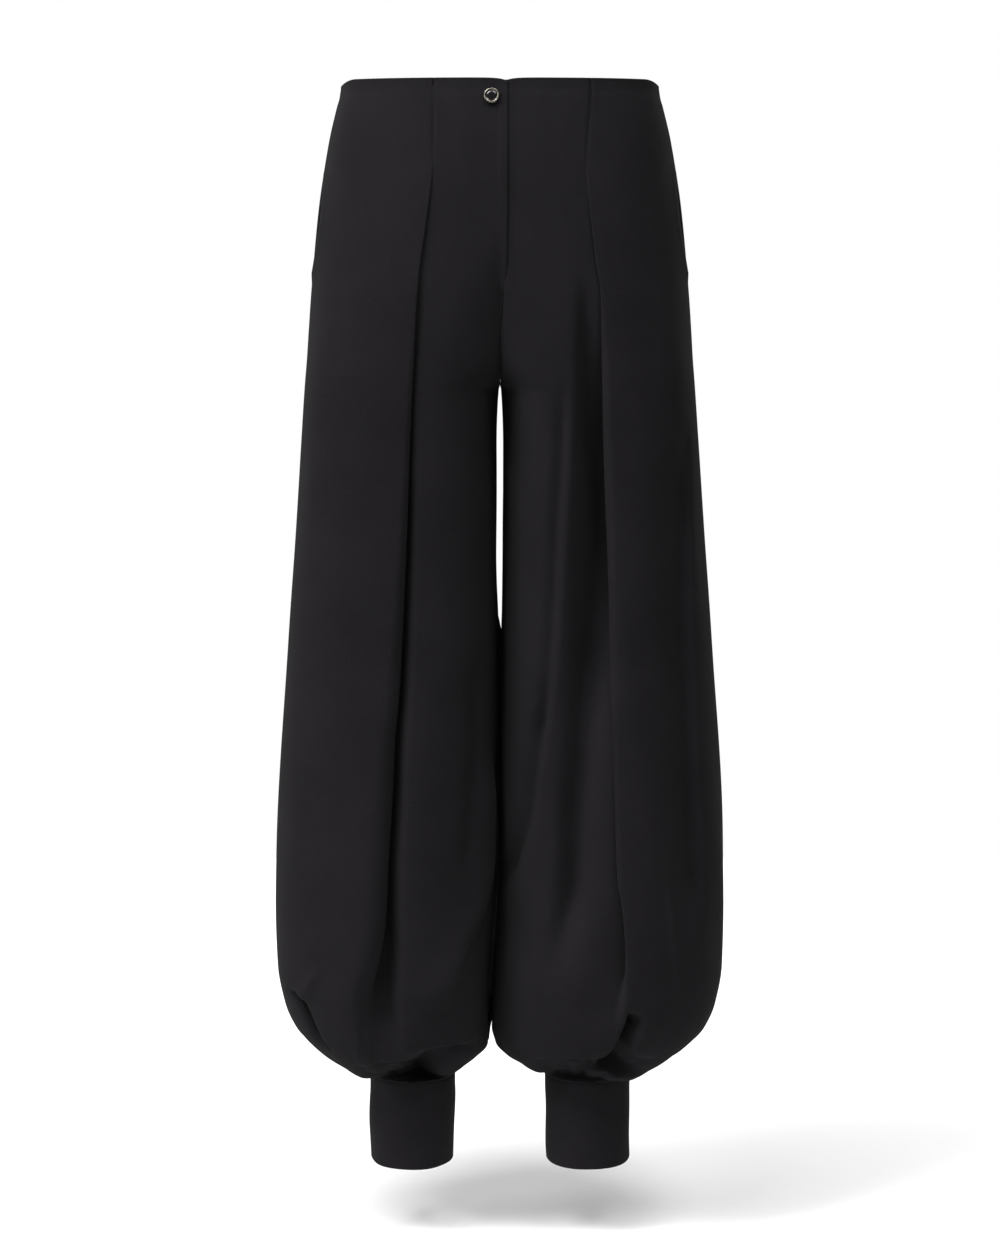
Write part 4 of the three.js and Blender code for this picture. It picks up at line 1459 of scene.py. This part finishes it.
@dataclass(frozen=True)
class Suiting:
    """Fine twill suiting, very dark, matt, with a trace of nap."""

    name: str = "suiting"
    dark: Triple = (0.0094, 0.0087, 0.0096)
    light: Triple = (0.0156, 0.0144, 0.0159)
    yarn: float = 0.00052
    slub: float = 0.0011
    slant: float = 1.35
    warp_rate: float = 1.6
    weft_rate: float = 1.45
    fleck_stretch: float = 0.38
    mottle_scale: float = 14.0

    def make(self) -> bpy.types.Material:
        """Makes the material on the cloth's own flat map.

        Returns:
            The material.
        """
        board = NodeBoard(self.name)
        place = board.add("ShaderNodeUVMap", uv_map="fabric")
        split = board.add("ShaderNodeSeparateXYZ")
        board.join(place.outputs["UV"], split.inputs["Vector"])
        u, v = split.outputs["X"], split.outputs["Y"]
        turn = 2 * math.pi / self.yarn
        slanted = board.math("ADD", u, board.math("MULTIPLY", v, self.slant))
        wales = board.math("SINE", board.math("MULTIPLY", slanted, turn))
        warp = board.math("SINE", board.math("MULTIPLY", u, turn * self.warp_rate))
        weft = board.math("SINE", board.math("MULTIPLY", v, turn * self.weft_rate))
        weave = board.math("ADD", wales, board.math("MULTIPLY", board.math("MULTIPLY", warp, weft), 0.5))
        stretched = board.add("ShaderNodeCombineXYZ")
        board.join(u, stretched.inputs["X"])
        board.join(board.math("MULTIPLY", v, self.fleck_stretch), stretched.inputs["Y"])
        flecks = board.noise(stretched.outputs["Vector"], 1 / self.slub, 4.0, 0.62)
        mottle = board.noise(place.outputs["UV"], self.mottle_scale, 3.0, 0.55)
        fine, broad = board.spread(flecks, 0.0, 0.75, 0.3, 0.7), board.spread(mottle, 0.0, 0.25, 0.35, 0.65)
        tone = board.math("ADD", fine, broad)
        lit = board.math("ADD", tone, board.math("MULTIPLY", wales, 0.08))
        board.paint(lit, self.dark, self.light)
        board.roughen(flecks, 0.78, 0.95)
        height = board.math("ADD", board.math("MULTIPLY", weave, 0.3), board.math("MULTIPLY", flecks, 1.2))
        board.bump(height, 0.00012, 0.7)
        board.set(Specular_IOR_Level=0.02)
        board.set(Sheen_Weight=0.008, Sheen_Roughness=0.5, Sheen_Tint=(1.0, 0.97, 0.95, 1.0))
        return board.material


@dataclass(frozen=True)
class Gunmetal:
    """Polished gunmetal with fine handling marks."""

    name: str = "button_metal"
    color: Triple = (0.13, 0.12, 0.1)
    worn: Triple = (0.24, 0.225, 0.19)

    def make(self) -> bpy.types.Material:
        """Makes the material on object coordinates.

        Returns:
            The material.
        """
        board = NodeBoard(self.name)
        place = board.add("ShaderNodeTexCoord").outputs["Object"]
        marks = board.noise(place, 900.0, 5.0, 0.7)
        patches = board.noise(place, 260.0, 2.0)
        board.paint(board.spread(patches, 0, 1, 0.3, 0.7), self.color, self.worn)
        board.roughen(marks, 0.3, 0.48)
        board.bump(marks, 0.00003, 0.6)
        board.set(Metallic=1.0)
        return board.material


@dataclass(frozen=True)
class DarkEnamel:
    """Glossy near-black enamel with a very faint unevenness."""

    name: str = "button_face"
    color: Triple = (0.006, 0.006, 0.0065)
    haze: Triple = (0.012, 0.012, 0.012)

    def make(self) -> bpy.types.Material:
        """Makes the material on object coordinates.

        Returns:
            The material.
        """
        board = NodeBoard(self.name)
        place = board.add("ShaderNodeTexCoord").outputs["Object"]
        ripple = board.noise(place, 420.0, 2.0)
        dust = board.noise(place, 2600.0, 3.0, 0.6)
        board.paint(board.spread(dust, 0, 1, 0.45, 0.75), self.color, self.haze)
        board.roughen(dust, 0.14, 0.26, 0.4)
        board.bump(ripple, 0.00004, 0.5)
        board.set(Specular_IOR_Level=0.5, Coat_Weight=0.4, Coat_Roughness=0.08)
        return board.material


@dataclass(frozen=True)
class Thread:
    """Dark sewing thread with a twisted surface."""

    name: str = "thread"
    dark: Triple = (0.005, 0.0048, 0.005)
    light: Triple = (0.012, 0.0115, 0.0115)

    def make(self) -> bpy.types.Material:
        """Makes the material on object coordinates.

        Returns:
            The material.
        """
        board = NodeBoard(self.name)
        place = board.add("ShaderNodeTexCoord").outputs["Object"]
        twist = board.noise(place, 3200.0, 2.0)
        board.paint(board.spread(twist, 0, 1, 0.35, 0.65), self.dark, self.light)
        board.roughen(twist, 0.55, 0.8)
        board.bump(twist, 0.00008, 0.6)
        board.set(Specular_IOR_Level=0.08)
        return board.material


@dataclass(frozen=True)
class StudioWhite:
    """Plain pale matt paper for the floor."""

    name: str = "studio_white"
    color: Triple = (0.9, 0.9, 0.9)

    def make(self) -> bpy.types.Material:
        """Makes the material on object coordinates.

        Returns:
            The material.
        """
        board = NodeBoard(self.name)
        place = board.add("ShaderNodeTexCoord").outputs["Object"]
        grain = board.noise(place, 40.0, 3.0)
        board.paint(grain, self.color, tuple(0.985 * c for c in self.color))
        board.set(Roughness=0.95, Specular_IOR_Level=0.0)
        return board.material


class StitchKind(Enum):
    """The two ways in which thread shows on the cloth."""

    PICK = "pick stitches"
    BAR = "bar of close stitches"


@dataclass
class Stitches:
    """Thread laid along a line by Geometry Nodes, as single pick stitches or as a close zigzag bar."""

    name: str
    kind: StitchKind
    line: Array
    radius: float = 0.16
    pitch: float = 5.0
    length: float = 1.3

    def tree(self, finish: bpy.types.Material) -> bpy.types.NodeTree:
        """Builds the node tree that lays the thread.

        Args:
            finish: the thread's material.

        Returns:
            The tree, with its sizes as named inputs.
        """
        tree = bpy.data.node_groups.new(self.name, "GeometryNodeTree")
        face = tree.interface
        face.new_socket("Geometry", in_out="INPUT", socket_type="NodeSocketGeometry")
        for label in ("Thread radius", "Pitch", "Stitch length"):
            face.new_socket(label, in_out="INPUT", socket_type="NodeSocketFloat")
        face.new_socket("Geometry", in_out="OUTPUT", socket_type="NodeSocketGeometry")
        nodes, links = tree.nodes, tree.links
        given, result = nodes.new("NodeGroupInput"), nodes.new("NodeGroupOutput")
        curve = nodes.new("GeometryNodeMeshToCurve")
        links.new(given.outputs["Geometry"], curve.inputs["Mesh"])
        realize = nodes.new("GeometryNodeRealizeInstances")
        dress = nodes.new("GeometryNodeSetMaterial")
        dress.inputs["Material"].default_value = finish
        if self.kind is StitchKind.PICK:
            spots = nodes.new("GeometryNodeCurveToPoints")
            spots.mode = "LENGTH"
            links.new(curve.outputs["Curve"], spots.inputs["Curve"])
            links.new(given.outputs["Pitch"], spots.inputs["Length"])
            grain = nodes.new("GeometryNodeMeshUVSphere")
            grain.inputs["Segments"].default_value = 8
            grain.inputs["Rings"].default_value = 6
            grain.inputs["Radius"].default_value = 1.0
            size = nodes.new("ShaderNodeCombineXYZ")
            half = nodes.new("ShaderNodeMath")
            half.operation = "MULTIPLY"
            half.inputs[1].default_value = 0.5
            links.new(given.outputs["Stitch length"], half.inputs[0])
            radius = given.outputs["Thread radius"]
            for axis, source in zip("XYZ", (radius, radius, half.outputs[0])):
                links.new(source, size.inputs[axis])
            lay = nodes.new("GeometryNodeInstanceOnPoints")
            links.new(spots.outputs["Points"], lay.inputs["Points"])
            links.new(spots.outputs["Rotation"], lay.inputs["Rotation"])
            links.new(grain.outputs["Mesh"], lay.inputs["Instance"])
            links.new(size.outputs["Vector"], lay.inputs["Scale"])
            links.new(lay.outputs["Instances"], realize.inputs["Geometry"])
        else:
            ring = nodes.new("GeometryNodeCurvePrimitiveCircle")
            ring.inputs["Resolution"].default_value = 8
            links.new(given.outputs["Thread radius"], ring.inputs["Radius"])
            sweep = nodes.new("GeometryNodeCurveToMesh")
            sweep.inputs["Fill Caps"].default_value = True
            links.new(curve.outputs["Curve"], sweep.inputs["Curve"])
            links.new(ring.outputs["Curve"], sweep.inputs["Profile Curve"])
            links.new(sweep.outputs["Mesh"], realize.inputs["Geometry"])
        links.new(realize.outputs["Geometry"], dress.inputs["Geometry"])
        links.new(dress.outputs["Geometry"], result.inputs["Geometry"])
        return tree

    def build(self, finish: bpy.types.Material) -> Item:
        """Lays the thread and keeps the result as a plain mesh.

        Args:
            finish: the thread's material.

        Returns:
            The new object.
        """
        guide = bpy.data.meshes.new(self.name + "_line")
        edges = [(i, i + 1) for i in range(len(self.line) - 1)]
        guide.from_pydata((self.line * MM).tolist(), edges, [])
        item = bpy.data.objects.new(self.name, guide)
        bpy.context.scene.collection.objects.link(item)
        modifier = item.modifiers.new("thread", "NODES")
        modifier.node_group = self.tree(finish)
        sizes = {"Thread radius": self.radius, "Pitch": self.pitch, "Stitch length": self.length}
        for socket in modifier.node_group.interface.items_tree:
            if socket.item_type == "SOCKET" and socket.in_out == "INPUT" and socket.name in sizes:
                modifier[socket.identifier] = sizes[socket.name] * MM
        bpy.context.view_layer.update()
        evaluated = item.evaluated_get(bpy.context.evaluated_depsgraph_get())
        mesh = bpy.data.meshes.new_from_object(evaluated)
        item.modifiers.clear()
        item.data = mesh
        mesh.name = self.name
        mesh.shade_smooth()
        if not mesh.materials:
            mesh.materials.append(finish)
        return item


def zigzag(start: Array, end: Array, across: Array, width: float, pitch: float) -> Array:
    """The path of a thread that runs to and fro over a short bar.

    Args:
        start: one end of the bar.
        end: its other end.
        across: the direction of the stitches.
        width: how long each stitch is.
        pitch: how far apart they are.

    Returns:
        The path's points.
    """
    count = max(int(np.linalg.norm(end - start) / pitch), 2)
    across = across / np.linalg.norm(across)
    share = np.linspace(0, 1, count)[:, None]
    side = np.where(np.arange(count) % 2, 0.5, -0.5)[:, None]
    return start + (end - start) * share + across * side * width


@dataclass
class Trim:
    """The sewing that shows on the finished trousers."""

    fronts: dict[Leg, Shell]
    finish: bpy.types.Material
    proud: float = 0.08
    thread: float = 0.17
    fly_x: float = 3.6
    fly_heights: Triple = (-30.0, -194.0, -1.0)
    pick: Pair = (4.6, 1.1)
    bar_z: float = -199.5
    bar_ends: Pair = (-4.0, 3.4)
    bar_stitch: Pair = (1.5, 0.34)
    hole_z: float = -17.0
    hole_ends: Pair = (-18.6, 2.4)
    hole_half: float = 0.95
    hole_stitch: Pair = (1.5, 0.36)
    hole_thread: float = 0.16
    pocket_ends: tuple[tuple[str, float], ...] = (("top", -74.0), ("foot", -203.0))
    pocket_stitch: Pair = (1.8, 0.36)
    pocket_proud: float = 0.1
    pocket_columns: int = 4

    def spot(self, shell: Shell, x: float, z: float) -> Array:
        """The point of a panel's outside nearest to an x and z, just proud of the cloth.

        Args:
            shell: the panel.
            x: where across.
            z: where up.

        Returns:
            The point.
        """
        normal = shell.normals()
        outside = shell.points + normal * (shell.thickness[:, :, None] / 2 + self.proud)
        miss = np.hypot(outside[:, :, 0] - x, outside[:, :, 2] - z) + (outside[:, :, 1] > 0) * 1e3
        r, c = np.unravel_index(np.argmin(miss), miss.shape)
        found = outside[r, c].copy()
        found[0], found[2] = x, z
        return found

    def build(self) -> list[Item]:
        """Sews the fly's edge, bars and buttonhole, and the ends of the pocket mouths.

        Returns:
            The new objects.
        """
        right, up = self.fronts[Leg.RIGHT], np.array([0, 0, 1.0])
        edge = np.array([self.spot(right, self.fly_x, z) for z in np.arange(*self.fly_heights)])
        sewn = [Stitches("fly_pick_stitches", StitchKind.PICK, edge, self.thread, *self.pick)]
        first, last = (self.spot(right, x, self.bar_z) for x in self.bar_ends)
        bar = zigzag(first, last, up, *self.bar_stitch)
        sewn.append(Stitches("fly_bartack", StitchKind.BAR, bar, self.thread))
        first, last = (self.spot(right, x, self.hole_z) for x in self.hole_ends)
        lips = []
        for side in (1, -1):
            lift = np.array([0, 0, self.hole_half * side])
            lips.append(zigzag(first + lift, last + lift, up, *self.hole_stitch)[::side])
        hole = np.concatenate((lips[0], lips[1], lips[0][:1]))
        sewn.append(Stitches("buttonhole", StitchKind.BAR, hole, self.hole_thread))
        for leg, shell in self.fronts.items():
            for end, z in self.pocket_ends:
                row = int(np.argmin(np.abs(shell.points[:, -1, 2] - z)))
                half = shell.thickness[row][:, None] / 2
                outside = shell.points[row] + shell.normals()[row] * (half + self.pocket_proud)
                path = zigzag(outside[-1], outside[-self.pocket_columns], up, *self.pocket_stitch)
                sewn.append(Stitches(f"pocket_bartack_{end}_{leg.label}", StitchKind.BAR, path, self.thread))
        return [stitches.build(self.finish) for stitches in sewn]


@dataclass(frozen=True)
class Lamp:
    """A large soft light: how far round from the front and how high it stands, in degrees, and its watts."""

    name: str
    round_from_front: float
    up: float
    power: float


@dataclass
class Studio:
    """The pale floor, the soft lights and the camera."""

    floor_level: float = -1.165
    floor_half: float = 1.8
    camera_distance: float = 3.0
    camera_height: float = -0.13
    camera_tilt: float = 7.75
    lens: float = 86.69
    sensor: float = 36.0
    sky: float = 0.02
    lamps: tuple[Lamp, ...] = (
        Lamp("side", -75, 15, 74),
        Lamp("high", -55, 55, 138),
        Lamp("front", -30, 60, 44),
        Lamp("top_right", 40, 62, 95),
        Lamp("back_right", -140, 25, 70),
        Lamp("back_left", 140, 25, 70),
    )
    lamp_distance: float = 3.9
    lamp_size: Pair = (1.3, 1.8)
    lamp_aim: Triple = (0.0, 0.0, -0.5)

    def floor(self, finish: bpy.types.Material) -> Item:
        """Lays the floor, well below the cuffs.

        Args:
            finish: its material.

        Returns:
            The new object.
        """
        s, z = self.floor_half, self.floor_level
        item = mesh_piece("floor", [(-s, -s, z), (s, -s, z), (s, s, z), (-s, s, z)], [(0, 1, 2, 3)])
        item.data.materials.append(finish)
        return item

    def softbox(self, lamp: Lamp) -> None:
        """Sets a large soft light up, pointing at the middle of the trousers.

        Args:
            lamp: its place and power.
        """
        data = bpy.data.lights.new(lamp.name, "AREA")
        data.shape = "RECTANGLE"
        data.size, data.size_y = self.lamp_size
        data.energy = lamp.power
        turn, up = math.radians(lamp.round_from_front), math.radians(lamp.up)
        towards = Vector((math.cos(up) * math.sin(turn), -math.cos(up) * math.cos(turn), math.sin(up)))
        item = bpy.data.objects.new(lamp.name, data)
        item.location = Vector(self.lamp_aim) + towards * self.lamp_distance
        item.rotation_euler = towards.to_track_quat("Z", "Y").to_euler()
        bpy.context.scene.collection.objects.link(item)

    def lights(self) -> None:
        """The soft lights, mostly from the left and above, in a dark room with a white backdrop."""
        world = bpy.data.worlds.new("studio")
        world.use_nodes = True
        nodes, links = world.node_tree.nodes, world.node_tree.links
        backdrop = nodes["Background"]
        backdrop.inputs["Color"].default_value = (1.0, 1.0, 1.0, 1.0)
        room = nodes.new("ShaderNodeBackground")
        room.inputs["Strength"].default_value = self.sky
        seen, mixed = nodes.new("ShaderNodeLightPath"), nodes.new("ShaderNodeMixShader")
        links.new(seen.outputs["Is Camera Ray"], mixed.inputs[0])
        links.new(room.outputs[0], mixed.inputs[1])
        links.new(backdrop.outputs[0], mixed.inputs[2])
        links.new(mixed.outputs[0], nodes["World Output"].inputs["Surface"])
        bpy.context.scene.world = world
        for lamp in self.lamps:
            self.softbox(lamp)

    def camera(self) -> None:
        """The camera, low and far, tilted a little down."""
        data = bpy.data.cameras.new("camera")
        data.lens = self.lens
        data.sensor_width = self.sensor
        data.clip_end = 100.0
        item = bpy.data.objects.new("camera", data)
        item.location = (0.0, -self.camera_distance, self.camera_height)
        item.rotation_euler = (math.radians(90 - self.camera_tilt), 0.0, 0.0)
        bpy.context.scene.collection.objects.link(item)
        bpy.context.scene.camera = item


@dataclass
class Trousers:
    """The whole garment: it builds each piece, dresses it and hides the solids that it stands for."""

    form: BodyForm = field(default_factory=BodyForm)

    @staticmethod
    def keep(item: Item, finish: bpy.types.Material, slot: str, *nodes: str) -> Item:
        """Dresses a piece and ties it to the part.

        Args:
            item: the piece.
            finish: its material.
            slot: the record's material slot; not used.
            nodes: the solids that it stands for.

        Returns:
            The piece.
        """
        item.data.materials.clear()
        item.data.materials.append(finish)
        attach(item, "root")
        if nodes:
            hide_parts(*nodes)
        log.info("%s: %d faces", item.name, len(item.data.polygons))
        return item

    def build(self) -> None:
        """Builds every piece."""
        suiting, thread = Suiting().make(), Thread().make()
        fronts: dict[Leg, Shell] = {}
        for leg, pleat in ((Leg.RIGHT, RIGHT_PLEAT), (Leg.LEFT, LEFT_PLEAT)):
            cloth = LegCloth(leg, self.form, pleat)
            fronts[leg] = cloth.front()
            front = self.keep(fronts[leg].build(), suiting, "suiting", f"front_{leg.label}")
            back = self.keep(cloth.back().build(), suiting, "suiting", f"back_{leg.label}")
            cuff = self.keep(Cuff(leg).build(), suiting, "suiting", f"cuff_{leg.label}")
            facing = PocketFacing(leg, self.form).build()
            self.keep(facing, suiting, "suiting", f"pocket_facing_{leg.label}")
        shield = self.keep(FlyShield(self.form).build(), suiting, "suiting", "fly_shield")
        button = Button(self.form)
        self.keep(button.rim(), Gunmetal().make(), "button_metal", "button_rim")
        self.keep(button.face(), DarkEnamel().make(), "button_face", "button_face")
        for item in Trim(fronts, thread).build():
            self.keep(item, thread, "suiting")


def main() -> None:
    logging.basicConfig(level=logging.INFO, format="%(name)s: %(message)s")
    bpy.context.scene.view_settings.view_transform = "Standard"
    studio = Studio()
    studio.camera()
    studio.lights()
    studio.floor(StudioWhite().make())
    Trousers().build()


if __name__ == "__main__":
    main()
